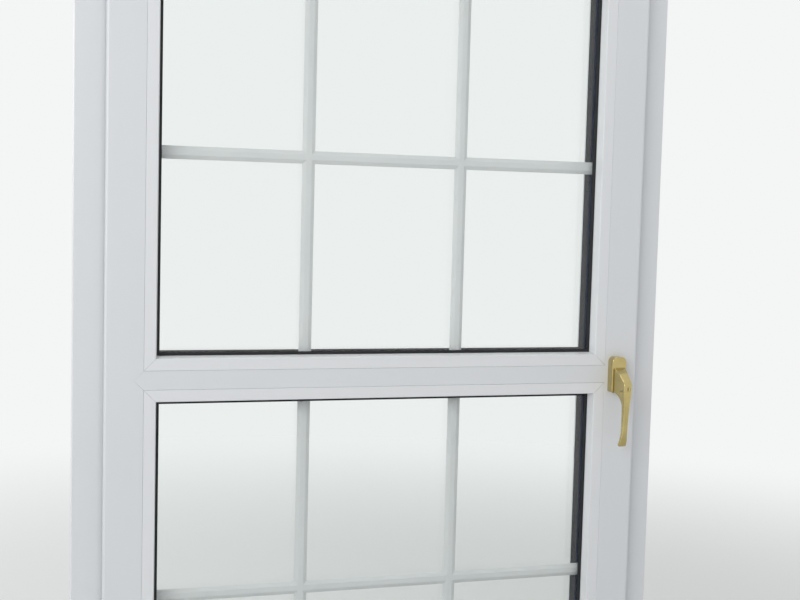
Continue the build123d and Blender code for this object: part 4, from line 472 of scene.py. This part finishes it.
@dataclass(frozen=True)
class WeldPlanes:
    """The planes on which the profiles of a node are welded to each other."""

    ring: Opening
    rail_tip: float = 0.0  # half length of the pointed mid rail, 0 where there is none
    rail_z: float = 696.0
    slack: float = 0.02  # how far a point may lie off a plane
    lean: float = 0.01  # how far a face's normal may lean off a plane's

    def holds(self, spot: Vector) -> bool:
        """Tell whether a place lies on one of the planes.

        Args:
            spot: The place in metres.

        Returns:
            True on a corner mitre or on the point of the mid rail.
        """
        x, z = abs(spot.x / MM), spot.z / MM
        across = self.ring.right - x
        up = min(z - self.ring.low, self.ring.high - z)
        on_rail = self.rail_tip > 0 and abs(x + abs(z - self.rail_z) - self.rail_tip) < self.slack
        return on_rail or abs(across - up) < self.slack

    def open_up(self, work: bmesh.types.BMesh) -> None:
        """Take away the faces hidden inside the welds of a merged mesh."""
        hidden = [f for f in work.faces if abs(abs(f.normal.x) - abs(f.normal.z)) < self.lean
                  and abs(f.normal.y) < self.lean and all(self.holds(v.co) for v in f.verts)]
        bmesh.ops.delete(work, geom=hidden, context="FACES")


@dataclass(frozen=True)
class Path:
    """A line of points in a plane with its corners rounded."""

    STEPS = 8  # in each round
    ROOM = 0.48  # share of a side that the round at its end may take

    points: tuple[Vector, ...]

    @classmethod
    def rounded(cls, corners: tuple[Point, ...]) -> "Path":
        """Return the path through corners.

        Args:
            corners: Two coordinates and the reach of the round of every corner, from start to end.

        Returns:
            The path.
        """
        points = [Vector(corners[0][:2])]
        for before, corner, after in zip(corners, corners[1:], corners[2:]):
            spot = Vector(corner[:2])
            back, ahead = (Vector(other[:2]) - spot for other in (before, after))
            first = spot + back.normalized() * min(corner[2], cls.ROOM * back.length)
            last = spot + ahead.normalized() * min(corner[2], cls.ROOM * ahead.length)
            points += [first * (1 - t) ** 2 + spot * 2 * t * (1 - t) + last * t ** 2
                       for t in (i / cls.STEPS for i in range(cls.STEPS + 1))]
        return cls(tuple(points + [Vector(corners[-1][:2])]))

    def at(self, share: float) -> Vector:
        """Return the point that ends a share of the path's length."""
        steps = [(b - a).length for a, b in zip(self.points, self.points[1:])]
        left = min(1.0, max(0.0, share)) * sum(steps)
        for a, b, step in zip(self.points, self.points[1:], steps):
            if left <= step:
                return a.lerp(b, left / step if step else 0.0)
            left -= step
        return self.points[-1].copy()


class SubAssembly:
    """Pieces that belong together and ride on known bodies."""

    def dress(self, node: str, finish: Finish) -> None:
        """Give a CAD node its finish.

        Args:
            node: Name of the CAD node.
            finish: Its finish.
        """
        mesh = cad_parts[node].data
        mesh.materials.clear()
        mesh.materials.append(finish.material())
        log.info("%s: CAD node in %s", node, finish.name)

    def soften(self, node: str, body: Body, finish: Finish, edge: float = 0.0, shortest: float = 12.0,
               welds: Optional[WeldPlanes] = None) -> None:
        """Stand a merged copy with worked edges in a CAD node's place.

        Args:
            node: Name of the CAD node.
            body: The body it rides on.
            finish: Its finish.
            edge: Width of the eased edges, or 0 to leave them sharp.
            shortest: Length under which an edge is left sharp.
            welds: The planes where its profiles are welded into one, if it has any.
        """
        work = bmesh.new()
        work.from_mesh(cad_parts[node].data)
        bmesh.ops.remove_doubles(work, verts=work.verts, dist=MERGE_MM * MM)
        if welds:
            welds.open_up(work)
        bmesh.ops.dissolve_limit(work, angle_limit=FLAT_ANGLE, verts=work.verts, edges=work.edges)
        if edge:
            sharp = [e for e in work.edges if e.is_convex and e.calc_length() > shortest * MM
                     and EASED_FROM < e.calc_face_angle(0.0) < EASED_TO]
            bmesh.ops.bevel(work, geom=sharp, offset=edge * MM, offset_type="OFFSET", segments=EASED_STEPS,
                            profile=0.5, affect="EDGES", clamp_overlap=False)
        obj = new_object(f"{node}_worked", [], [], [])
        work.to_mesh(obj.data)
        work.free()
        surface(obj, finish)
        self.keep(obj, body, node)

    def keep(self, obj: Piece, body: Body, node: str, replaces: bool = True) -> None:
        """Hand a finished piece to its body.

        Args:
            obj: The piece.
            body: The body it rides on.
            node: The CAD node that it stands in place of or beside.
            replaces: Whether it stands in that node's place.
        """
        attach(obj, body.value)
        if replaces:
            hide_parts(node)
        log.info("%s: on %s, %s %s", obj.name, body.value, "in place of" if replaces else "beside", node)


@dataclass
class ScrewHeads:
    """Cross-recess screws, set on points whose axes look out of the metal."""

    head_radius: float = 3.5
    head_height: float = 1.1
    proud: float = 0.25  # how far a head stands out of its plate
    recess_width: float = 1.0
    rim_share: float = 0.9  # radius of a head's top, from the radius at its foot
    recess_share: float = 1.15  # length of a recess, from the same radius
    sides: int = 24
    seed: int = 7

    def recipe(self) -> NodeRecipe:
        """Return the tree that sets a screw on every point."""
        recipe = NodeRecipe("cross_recess_screws", {
            "Head Radius": self.head_radius * MM, "Head Height": self.head_height * MM,
            "Recess Width": self.recess_width * MM, "Seed": self.seed})
        start, node = recipe.start, recipe.node
        rim, reach = [node("ShaderNodeMath", (start["Head Radius"], share), operation="MULTIPLY")[0]
                      for share in (self.rim_share, self.recess_share)]
        head = node("GeometryNodeMeshCone", {
            "Vertices": self.sides, "Radius Top": rim, "Radius Bottom": start["Head Radius"],
            "Depth": start["Head Height"]}, fill_type="NGON")["Mesh"]
        lift = node("ShaderNodeCombineXYZ", {2: start["Head Height"]})[0]
        bars = []
        for size in ((reach, start["Recess Width"]), (start["Recess Width"], reach)):
            extent = node("ShaderNodeCombineXYZ", (*size, start["Head Height"]))[0]
            cube = node("GeometryNodeMeshCube", {"Size": extent})["Mesh"]
            bars.append(node("GeometryNodeTransform", {"Geometry": cube, "Translation": lift})[0])
        cut = node("GeometryNodeMeshBoolean", {"Mesh 1": head, "Mesh 2": bars},
                   operation="DIFFERENCE", solver="EXACT")["Mesh"]
        axis = node("GeometryNodeInputNamedAttribute", {"Name": "axis"}, data_type="FLOAT_VECTOR")
        aim = node("FunctionNodeAlignRotationToVector", {"Vector": axis["Attribute"]}, axis="Z")[0]
        chance = node("FunctionNodeRandomValue", {2: 0.0, 3: math.tau, "Seed": start["Seed"]},
                      data_type="FLOAT")[1]
        twist = node("FunctionNodeAxisAngleToRotation", {"Axis": (0.0, 0.0, 1.0), "Angle": chance})[0]
        turn = node("FunctionNodeRotateRotation", (aim, twist), rotation_space="LOCAL")[0]
        points = node("GeometryNodeMeshToPoints", {"Mesh": start["Geometry"]})[0]
        recipe.finish(node("GeometryNodeInstanceOnPoints", {
            "Points": points, "Instance": cut, "Rotation": turn})[0])
        return recipe

    def build(self, name: str, finish: Finish, seats: list[Seat]) -> Piece:
        """Set screws on their seats.

        Args:
            name: Name of the piece.
            finish: Its finish.
            seats: The seats, in millimetres.

        Returns:
            The screws as one mesh.
        """
        middle = self.proud - self.head_height / 2
        obj = new_object(name, [(spot + axis * middle) * MM for spot, axis in seats], [], [])
        layer = obj.data.attributes.new("axis", "FLOAT_VECTOR", "POINT")
        for item, (_, axis) in zip(layer.data, seats):
            item.vector = axis
        self.recipe().apply(obj, finish)
        return obj


@dataclass
class FixedFrame(SubAssembly):
    """The welded frame with its steel, seal, drain covers, keeps and run-up block."""

    outline: Opening = Opening(-433.0, 433.0, 0.0, 1392.0)
    keep_face_w: float = 10.3  # front of a keep's base, from the sash edge
    screw_y: float = -24.0
    screw_sides: tuple[Numbers, ...] = (  # heights on the right, places along X at the top and the bottom
        (1049.5, 1018.0, 389.5, 358.0), (123.5, 155.0), (-96.5, -128.0, 273.5, 196.5))

    def build(self) -> None:
        """Dress the fixed frame."""
        self.soften("outer_frame", Body.FRAME, UPVC, 0.5, 20.0, WeldPlanes(self.outline))
        self.soften("frame_gasket", Body.FRAME, SEAL)
        self.soften("drain_caps", Body.FRAME, CAP, 0.4, 8.0)
        self.soften("lock_keeps", Body.FRAME, CASTING, 0.3, 4.0)
        self.soften("tilt_keep", Body.FRAME, CASTING, 0.3, 4.0)
        self.soften("runup_block", Body.FRAME, NYLON, 0.5, 8.0)
        self.dress("frame_steel", GALVANISED)
        seats = SASH_EDGE.seats(self.keep_face_w, self.screw_y, -1, self.screw_sides)
        screws = ScrewHeads(head_radius=3.2, seed=11).build("keep_screws", PLATED, seats)
        self.keep(screws, Body.FRAME, "bracket_screws", replaces=False)


@dataclass
class HingeSide(SubAssembly):
    """The bottom pivot, the stay hinge at the top and their covers."""

    def build(self) -> None:
        """Dress the hinge side."""
        for node in ("pivot_bearing", "stay_bearing"):
            self.soften(node, Body.FRAME, POWDER, 0.4, 5.0)
        self.soften("bracket_covers", Body.FRAME, CAP, 0.4, 10.0)
        self.soften("stay_pin", Body.FRAME, PLATED)
        self.soften("bracket_screws", Body.FRAME, PLATED)
        self.soften("pivot_block", Body.PIVOT, POWDER)
        self.soften("tilt_pin", Body.PIVOT, PLATED)
        self.soften("stay_arm", Body.STAY, PLATED, 0.3, 5.0)
        self.soften("corner_hinge", Body.SASH, POWDER, 0.4, 5.0)


@dataclass
class Sash(SubAssembly):
    """The welded sash with its steel, lip seal and packers."""

    rail_tip: float = 354.0

    def build(self) -> None:
        """Dress the sash."""
        self.soften("sash_frame", Body.SASH, UPVC, 0.5, 20.0, WeldPlanes(SASH_EDGE, self.rail_tip))
        self.soften("sash_gasket", Body.SASH, SEAL)
        self.dress("sash_steel", GALVANISED)
        self.dress("glazing_packers", PACKER)


@dataclass
class SealedUnit(SubAssembly):
    """One glazed light: its panes, spacer, bars, seals and four beads."""

    name: str
    opening: Opening
    glass_w: float = 52.5  # edge of the panes, from the rectangle of the light
    spacer_w: float = 67.5  # face of the spacer that looks into the cavity
    sight_w: float = 70.5
    gasket_w: float = 74.5
    bead_back_y: float = -37.0
    pane_room_y: float = -33.0
    cavity_y: float = -19.0  # middle of the cavity
    pane_out_y: float = -5.0
    seat_y: float = -1.5
    columns: int = 3
    rows: int = 2
    bar_width: float = 18.0
    bar_depth: float = 8.0
    bar_flat: float = 7.2
    bar_edge: float = 2.6
    bar_roll: float = 0.15  # ease of its rolled edges
    hole_pitch: float = 6.0
    hole_radius: float = 0.55
    hole_sides: int = 8
    hole_offset: float = 3.2  # the two rows of spacer holes, either side of the middle
    hole_lift: float = 0.03  # how far the dark discs of painted hole shade lie off the spacer's face
    lip_foot: float = 0.6  # half width of a seal's lip where it leaves the bead
    lip_start: float = 0.35  # depth at which the lip starts to round
    lip_rest: float = 1.0  # depth that the round leaves over
    lip_nib: Pair = (0.3, 0.25)  # the chamfer where the lip meets the glass
    lip_steps: int = 7
    seal_root: float = 4.0  # back of a seal, from the edge of the panes

    def bar_recipe(self) -> NodeRecipe:
        """Return the tree that crosses a bar into a grid, divided evenly over the whole unit.

        Returns:
            The recipe, whose input mesh is a bar one metre long about the origin, along Z.
        """
        box = self.opening
        wide, high = box.right - box.left, box.high - box.low
        recipe = NodeRecipe(f"{self.name}_bar_grid", {
            "Columns": self.columns, "Rows": self.rows, "Width": (wide - 2 * self.spacer_w) * MM,
            "Height": (high - 2 * self.spacer_w) * MM,
            "Pitch Across": (wide - 2 * self.glass_w) / self.columns * MM,
            "Pitch Up": (high - 2 * self.glass_w) / self.rows * MM,
            "Middle": ((box.left + box.right) / 2 * MM, self.cavity_y * MM, (box.low + box.high) / 2 * MM)})
        start, node = recipe.start, recipe.node
        runs = []
        for count, pitch, length, along, turn in (
                ("Columns", "Pitch Across", "Height", 0, (0.0, 0.0, 0.0)),
                ("Rows", "Pitch Up", "Width", 2, (0.0, math.pi / 2, 0.0))):
            bars = node("ShaderNodeMath", (start[count], 1.0), operation="SUBTRACT")[0]
            gaps = node("ShaderNodeMath", (bars, 1.0), operation="SUBTRACT")[0]
            span = node("ShaderNodeMath", (gaps, start[pitch]), operation="MULTIPLY")[0]
            back = node("ShaderNodeMath", (span, -0.5), operation="MULTIPLY")[0]
            first, step = [node("ShaderNodeCombineXYZ", {along: way})[0] for way in (back, start[pitch])]
            line = node("GeometryNodeMeshLine", {"Count": bars, "Start Location": first, "Offset": step},
                        mode="OFFSET")["Mesh"]
            stretch = node("ShaderNodeCombineXYZ", (1.0, 1.0, start[length]))[0]
            placed = node("GeometryNodeInstanceOnPoints", {
                "Points": line, "Instance": start["Geometry"], "Rotation": turn, "Scale": stretch})[0]
            runs.append(node("GeometryNodeRealizeInstances", (placed,))[0])
        grid = node("GeometryNodeMeshBoolean", {"Mesh 2": runs}, operation="UNION", solver="EXACT")["Mesh"]
        recipe.finish(node("GeometryNodeTransform", {"Geometry": grid, "Translation": start["Middle"]})[0])
        return recipe

    def bars(self) -> Piece:
        """Return the crossed bars with their rolled edges."""
        half, flat = self.bar_width / 2, self.bar_flat / 2
        edge, crown = self.bar_edge / 2, self.bar_depth / 2
        loop = [(-half, -edge), (-flat, -crown), (flat, -crown), (half, -edge),
                (half, edge), (flat, crown), (-flat, crown), (-half, edge)]
        rows = [[Vector((x * MM, y * MM, z)) for x, y in loop] for z in (-0.5, 0.5)]
        obj = lofted(f"{self.name}_bars", rows)
        self.bar_recipe().apply(obj, STOVED)
        bevel = obj.modifiers.new("rolled_edges", "BEVEL")
        bevel.width, bevel.segments = self.bar_roll * MM, 1
        bevel.limit_method, bevel.angle_limit = "ANGLE", math.radians(20)
        return obj

    def hole_recipe(self) -> NodeRecipe:
        """Return the tree that sets small dark discs, painted shade of holes, along the loops of the
        spacer.
        """
        recipe = NodeRecipe(f"{self.name}_spacer_holes", {
            "Pitch": self.hole_pitch * MM, "Radius": self.hole_radius * MM})
        start, node = recipe.start, recipe.node
        path = node("GeometryNodeMeshToCurve", {"Mesh": start["Geometry"]})[0]
        points = node("GeometryNodeCurveToPoints", {"Curve": path, "Length": start["Pitch"]}, mode="LENGTH")
        inward = node("ShaderNodeVectorMath", (points["Tangent"], (0.0, 1.0, 0.0)),
                      operation="CROSS_PRODUCT")[0]
        aim = node("FunctionNodeAlignRotationToVector", {"Vector": inward}, axis="Z")[0]
        disc = node("GeometryNodeMeshCircle", {"Vertices": self.hole_sides, "Radius": start["Radius"]},
                    fill_type="NGON")["Mesh"]
        recipe.finish(node("GeometryNodeInstanceOnPoints", {
            "Points": points["Points"], "Instance": disc, "Rotation": aim})[0])
        return recipe

    def painted_hole_shade(self) -> Piece:
        """Return the two rows of drying holes in the face of the spacer, drawn as dark discs of painted
        shade.
        """
        verts = [corner for offset in (-self.hole_offset, self.hole_offset)
                 for corner in self.opening.corners(self.spacer_w + self.hole_lift, self.cavity_y + offset)]
        edges = [(base + i, base + (i + 1) % 4) for base in (0, 4) for i in range(4)]
        obj = new_object(f"{self.name}_spacer_holes", verts, edges, [])
        self.hole_recipe().apply(obj, SEALANT_AND_HOLE_SHADE)
        return obj

    def seal(self, name: str, back_y: float, glass_y: float) -> Piece:
        """Return a glazing seal with a rounded lip.

        Args:
            name: Name of the piece.
            back_y: Where it meets the bead or the upstand.
            glass_y: Where it meets the glass.

        Returns:
            The mitred ring.
        """
        sign = 1 if glass_y > back_y else -1
        foot = self.sight_w + self.lip_foot
        depth = abs(glass_y - back_y) - self.lip_rest
        nib_w, nib_y = self.lip_nib
        lip = []
        for i in range(self.lip_steps + 1):
            angle = math.pi / 2 * i / self.lip_steps
            lip.append((foot + (self.gasket_w - foot) * math.sin(angle),
                        back_y + sign * (self.lip_start + depth * (1 - math.cos(angle)))))
        root = self.glass_w + self.seal_root
        section = [
            (root, back_y), (self.sight_w - self.lip_foot, back_y), *lip,
            (self.gasket_w, glass_y - sign * nib_y), (self.gasket_w - nib_w, glass_y), (root, glass_y)]
        obj = lofted(f"{self.name}_{name}", [self.opening.corners(w, y) for w, y in section], closed=True)
        surface(obj, SEAL, 40.0, even=False)
        return obj

    def build(self) -> None:
        """Dress one light."""
        for node in ("inner_pane", "outer_pane"):
            self.dress(f"{self.name}_{node}", CLEAR)
        self.dress(f"{self.name}_spacer", SPACER)
        self.dress(f"{self.name}_edge_seal", SEALANT_AND_HOLE_SHADE)
        self.keep(self.painted_hole_shade(), Body.SASH, f"{self.name}_spacer", replaces=False)
        self.keep(self.bars(), Body.SASH, f"{self.name}_georgian_bars")
        self.keep(self.seal("room_seal", self.bead_back_y, self.pane_room_y), Body.SASH,
                  f"{self.name}_bead_gasket")
        self.keep(self.seal("outside_seal", self.seat_y, self.pane_out_y), Body.SASH,
                  f"{self.name}_outside_gasket")
        for side in ("bottom", "left", "top", "right"):
            self.soften(f"{self.name}_bead_{side}", Body.SASH, BEAD, 0.35, 20.0)


@dataclass
class LockGear(SubAssembly):
    """The faceplates, sliding bars, cams and housings in the sash groove."""

    plate_w: float = 20.4
    groove_y: float = -26.5
    screw_sides: tuple[Numbers, ...] = (
        (1227.0, 816.0, 576.0, 195.0), (59.0, 238.0), (170.0, -10.0, -232.0))
    handle_x: float = 358.0
    handle_screw_z: Numbers = (674.5, 717.5)
    handle_head_y: float = -60.0

    def screw_seats(self) -> list[Seat]:
        """Return the seat of every faceplate and handle screw."""
        x, y = self.handle_x, self.handle_head_y
        return SASH_EDGE.seats(self.plate_w, self.groove_y, 1, self.screw_sides) + [
            (Vector((x, y, z)), Vector((0, -1, 0))) for z in self.handle_screw_z]

    def build(self) -> None:
        """Dress the locking gear."""
        for node in ("lock_faceplate", "top_faceplate", "bottom_faceplate"):
            self.soften(node, Body.SASH, PLATED, 0.25, 10.0)
        self.soften("corner_drives", Body.SASH, CASTING, 0.3, 8.0)
        self.dress("gearbox_case", CASTING)
        for node, body in (("lock_bar", Body.LOCK), ("top_bar", Body.TOP), ("bottom_bar", Body.BOTTOM),
                           ("lock_cams", Body.LOCK), ("top_cam", Body.TOP), ("bottom_cams", Body.BOTTOM)):
            self.soften(node, body, PLATED)
        screws = ScrewHeads(proud=0.05).build("faceplate_screws", PLATED, self.screw_seats())
        self.keep(screws, Body.SASH, "hardware_screws")


@dataclass
class LeverHandle(SubAssembly):
    """The lever, its cover and base, the spindle and the key barrel."""

    axis: Point = (358.0, -55.0, 696.0)  # spindle axis on the sash face
    # Front and back of the lever: distance from the sash face, height from the axis, reach of the round
    front: tuple[Point, ...] = (
        (15.5, 11.0, 0.0), (31.4, 1.6, 5.0), (41.0, -6.4, 2.0), (44.5, -11.0, 2.5), (44.5, -30.0, 8.0),
        (43.7, -48.0, 9.0), (42.4, -68.0, 9.0), (40.6, -86.0, 6.0), (37.8, -97.0, 5.0), (33.2, -105.9, 0.0))
    back: tuple[Point, ...] = (
        (15.5, -25.0, 0.0), (29.6, -31.5, 4.0), (34.2, -41.0, 6.0), (33.5, -68.0, 9.0), (32.8, -86.0, 6.0),
        (31.4, -96.0, 4.0), (27.6, -103.4, 0.0))
    face: float = 44.5  # the front of the hub, from the sash face
    hub_shares: Pair = (0.42, 0.29)  # share of either path that the hub takes up
    hub_halves: Pair = (9.0, 6.2)  # half width at the root and at the front
    grip_halves: tuple[Pair, ...] = (  # height, half width
        (-112.0, 6.0), (-104.0, 6.5), (-97.0, 5.9), (-86.0, 4.7), (-68.0, 4.6), (-48.0, 5.0), (-25.0, 6.0))
    merge: Pair = (-22.0, -42.0)  # where the hub's width melts into the grip's
    edge_rounds: tuple[float, float, float] = (1.1, 3.4, 2.4)  # of the hub, the grip and the tip
    widest_round: float = 0.8  # largest edge round, from half the depth or width
    least_round: float = 0.3
    round_steps: int = 6
    section_steps: int = 72  # between the root and the round of the tip
    tip_share: float = 0.98  # share of the front path at which the tip starts to round
    tip_angles: Numbers = (15.0, 30.0, 45.0, 60.0, 75.0, 88.0)
    barrel_drop: float = 17.5
    barrel_room: float = 4.1
    barrel_depth: float = 12.0
    neck_radius: float = 8.5
    neck_start: float = 5.4
    overlap: float = 1.0  # how far the neck and the bore reach past the lever's skin
    rod_sides: int = 40

    def gripped(self, height: float) -> float:
        """Return how far a height belongs to the grip, from 0 to 1."""
        share = min(1.0, max(0.0, (self.merge[0] - height) / (self.merge[0] - self.merge[1])))
        return share * share * (3 - 2 * share)

    def half_width(self, distance: float, height: float) -> float:
        """Return half the lever's width at a place of its side.

        Args:
            distance: Distance from the sash face.
            height: Height from the spindle axis.

        Returns:
            The half width in millimetres.
        """
        at_root, at_face = self.hub_halves
        root = self.front[0][0]
        hub = at_root + (at_face - at_root) * (distance - root) / (self.face - root)
        grip = self.grip_halves[-1][1]
        for (low, one), (high, other) in zip(self.grip_halves, self.grip_halves[1:]):
            if low <= height <= high:
                grip = one + (other - one) * (height - low) / (high - low)
        return hub + (grip - hub) * self.gripped(height)

    def section(self, front: Vector, back: Vector, inset: float = 0.0, onward: float = 0.0) -> list[Vector]:
        """Return one section of the lever.

        Args:
            front: Its front middle in the side view.
            back: Its back middle.
            inset: How far it stands inside the lever's skin.
            onward: How far it is moved towards the tip.

        Returns:
            The points of a rectangle with round corners, in metres.
        """
        middle, along = (front + back) / 2, (front - back).normalized()
        move = Vector((along.y, -along.x)) * onward
        if move.y > 0:
            move = -move
        deep, width = (front - back).length / 2, self.half_width(middle.x, middle.y)
        hub, grip, _ = self.edge_rounds
        room = min(hub + (grip - hub) * self.gripped(middle.y), self.widest_round * deep,
                   self.widest_round * width)
        turn = max(room - inset, self.least_round)
        points = []
        for corner, (sx, sy) in enumerate(((1, 1), (-1, 1), (-1, -1), (1, -1))):
            for step in range(self.round_steps + 1):
                angle = math.radians(90 * corner + 90 * step / self.round_steps)
                x = sx * (width - inset - turn) + turn * math.cos(angle)
                place = middle + along * (sy * (deep - inset - turn) + turn * math.sin(angle))
                x *= self.half_width(place.x, place.y) / width
                points.append(self.spot(x, place.x + move.x, place.y + move.y))
        return points

    def sections(self) -> list[list[Vector]]:
        """Return the points of every section of the lever, from the root to the tip."""
        front, back = Path.rounded(self.front), Path.rounded(self.back)
        ahead, behind = self.hub_shares
        tip = self.edge_rounds[2]
        rows = []
        for i in range(self.section_steps + 1):
            share = self.tip_share * i / self.section_steps
            ends = front.at(share), back.at(
                share * behind / ahead if share < ahead else 1 - (1 - share) * (1 - behind) / (1 - ahead))
            rows.append(self.section(*ends))
        for angle in (math.radians(a) for a in self.tip_angles):
            rows.append(self.section(*ends, tip * (1 - math.cos(angle)), tip * math.sin(angle)))
        return rows

    def spot(self, across: float, distance: float, height: float) -> Vector:
        """Return a place on the handle in metres."""
        x, y, z = self.axis
        return Vector((x + across, y - distance, z + height)) * MM

    def rod(self, name: str, radius: float, height: float, near: float, far: float) -> Piece:
        """Return a round rod square to the sash face.

        Args:
            name: Name of the object.
            radius: Its radius.
            height: Height of its axis from the spindle axis.
            near: Distance of its back end from the sash face.
            far: Distance of its front end.

        Returns:
            The rod.
        """
        angles = [math.tau * i / self.rod_sides for i in range(self.rod_sides)]
        return lofted(name, [[self.spot(radius * math.cos(a), distance, height + radius * math.sin(a))
                              for a in angles] for distance in (near, far)])

    def lever(self) -> Piece:
        """Return the lever: flat flanks, rolled edges, the neck and the bore of the key barrel."""
        obj = lofted("lever_casting", self.sections())
        tools = [("UNION", self.rod("neck", self.neck_radius, 0.0, self.neck_start,
                                    self.front[0][0] + self.overlap)),
                 ("DIFFERENCE", self.rod("bore", self.barrel_room, -self.barrel_drop,
                                         self.face - self.barrel_depth, self.face + self.overlap))]
        for operation, tool in tools:
            tool.hide_render = True
            cut = obj.modifiers.new(tool.name, "BOOLEAN")
            cut.operation, cut.object, cut.solver = operation, tool, "EXACT"
        keep_result(obj)
        for _, tool in tools:
            bpy.data.objects.remove(tool)
        surface(obj, BRASS)
        return obj

    def build(self) -> None:
        """Dress the handle."""
        self.soften("handle_cover", Body.SASH, BRASS)
        self.keep(self.lever(), Body.HANDLE, "handle_lever")
        self.soften("key_barrel", Body.KEY, BRASS)
        self.dress("handle_base", CASTING)
        self.dress("spindle", PLATED)
        self.dress("drive_pinion", CASTING)


@dataclass(frozen=True)
class Lamp:
    """A large soft lamp, in metres and watts."""

    name: str
    spot: Point
    aim: Point
    width: float
    height: float
    watts: float

    def hang(self) -> None:
        """Hang the lamp in the studio, unseen itself."""
        data = bpy.data.lights.new(self.name, "AREA")
        data.shape, data.size, data.size_y, data.energy = "RECTANGLE", self.width, self.height, self.watts
        obj = bpy.data.objects.new(self.name, data)
        obj.location = self.spot
        obj.rotation_euler = (Vector(self.aim) - Vector(self.spot)).to_track_quat("-Z", "Y").to_euler()
        obj.visible_camera = obj.visible_transmission = False
        bpy.context.scene.collection.objects.link(obj)


@dataclass
class Studio:
    """A pale floor, soft light from both sides and the camera at the photograph's angle, in metres."""

    floor_half: float = 40.0
    floor_drop: float = 0.0004  # how far the floor lies under the frame
    clear_of: Pair = (1.2, 3.2)  # where the floor starts and ends melting into the ground
    pale: str = "#F4F5F5"
    floor_colour: str = "#E6E7E7"
    room_fill: float = 0.42  # light of the world from the room side
    day_fill: float = 0.6  # light of the world from outside
    fill_turn: Pair = (-0.5, 0.6)  # outward share where the one goes over into the other
    lamps: tuple[Lamp, ...] = (
        Lamp("room_softbox", (-2.2, -2.6, 2.2), (0.0, 0.0, 0.75), 1.8, 1.8, 36.0),
        Lamp("daylight_softbox", (-2.0, 2.4, 1.9), (0.2, 0.0, 0.8), 2.0, 2.0, 17.0),
        Lamp("edge_strip", (-1.9, -1.2, 0.9), (0.35, -0.09, 0.7), 0.3, 1.6, 3.0),
        Lamp("ceiling_softbox", (0.0, 0.0, 6.0), (0.0, 0.0, 0.0), 4.0, 4.0, 85.0))
    place: Point = (-0.4763, -1.6846, 0.9293)
    turn: Point = (85.869, -1.487, -16.696)
    lens: float = 53.96
    sensor: float = 36.0
    nearest: float = 0.01

    def floor(self) -> None:
        """Lay the floor under the frame."""
        half, low = self.floor_half, -self.floor_drop
        obj = new_object("studio_floor", [(-half, -half, low), (half, -half, low), (half, half, low),
                                          (-half, half, low)], [], [(0, 1, 2, 3)])
        material = bpy.data.materials.new("pale_studio_floor")
        node = emptied(material)
        paint = node("ShaderNodeBsdfDiffuse", (linear(self.floor_colour),))[0]
        ground = node("ShaderNodeEmission", (linear(self.pale), 1.0))[0]
        spot = node("ShaderNodeTexCoord")["Object"]
        away = node("ShaderNodeVectorMath", (spot,), operation="LENGTH")["Value"]
        share = node("ShaderNodeMapRange", (away, *self.clear_of), interpolation_type="SMOOTHSTEP")[0]
        mixed = node("ShaderNodeMixShader", (share, paint, ground))[0]
        node("ShaderNodeOutputMaterial", {"Surface": mixed})
        obj.data.materials.append(material)

    def world(self) -> None:
        """Light more from outside than from the room; the camera, glass and gloss see a pale ground."""
        world = bpy.data.worlds.new("studio_world")
        node = emptied(world)
        path = node("ShaderNodeLightPath")
        seen = path["Is Camera Ray"]
        for ray in ("Is Glossy Ray", "Is Transmission Ray"):
            seen = node("ShaderNodeMath", (seen, path[ray]), operation="MAXIMUM")[0]
        way = node("ShaderNodeTexCoord")["Generated"]
        outward = node("ShaderNodeSeparateXYZ", (way,))["Y"]
        strength = node("ShaderNodeMapRange", (outward, *self.fill_turn, self.room_fill, self.day_fill),
                        interpolation_type="SMOOTHSTEP")["Result"]
        light = node("ShaderNodeBackground", ((1, 1, 1, 1), strength))[0]
        ground = node("ShaderNodeBackground", (linear(self.pale), 1.0))[0]
        mixed = node("ShaderNodeMixShader", (seen, light, ground))[0]
        node("ShaderNodeOutputWorld", {"Surface": mixed})
        bpy.context.scene.world = world

    def camera(self) -> None:
        """Stand the camera where the photograph was taken."""
        data = bpy.data.cameras.new("photo_camera")
        data.lens, data.sensor_width, data.clip_start = self.lens, self.sensor, self.nearest
        obj = bpy.data.objects.new("photo_camera", data)
        obj.location = self.place
        obj.rotation_euler = [math.radians(a) for a in self.turn]
        bpy.context.scene.collection.objects.link(obj)
        bpy.context.scene.camera = obj

    def build(self) -> None:
        """Set up the studio."""
        self.floor()
        self.world()
        for lamp in self.lamps:
            lamp.hang()
        self.camera()
        bpy.context.scene.view_settings.view_transform = "Standard"


def main() -> None:
    """Build and dress the window, sub-assembly by sub-assembly."""
    logging.basicConfig(level=logging.INFO, format="%(name)s: %(message)s")
    upper = Opening(-393.0, 393.0, 657.0, 1352.0)
    lower = Opening(-393.0, 393.0, 40.0, 735.0)
    for part in (FixedFrame(), HingeSide(), Sash(), SealedUnit("upper", upper), SealedUnit("lower", lower),
                 LockGear(), LeverHandle(), Studio()):
        part.build()


if __name__ == "__main__":
    main()
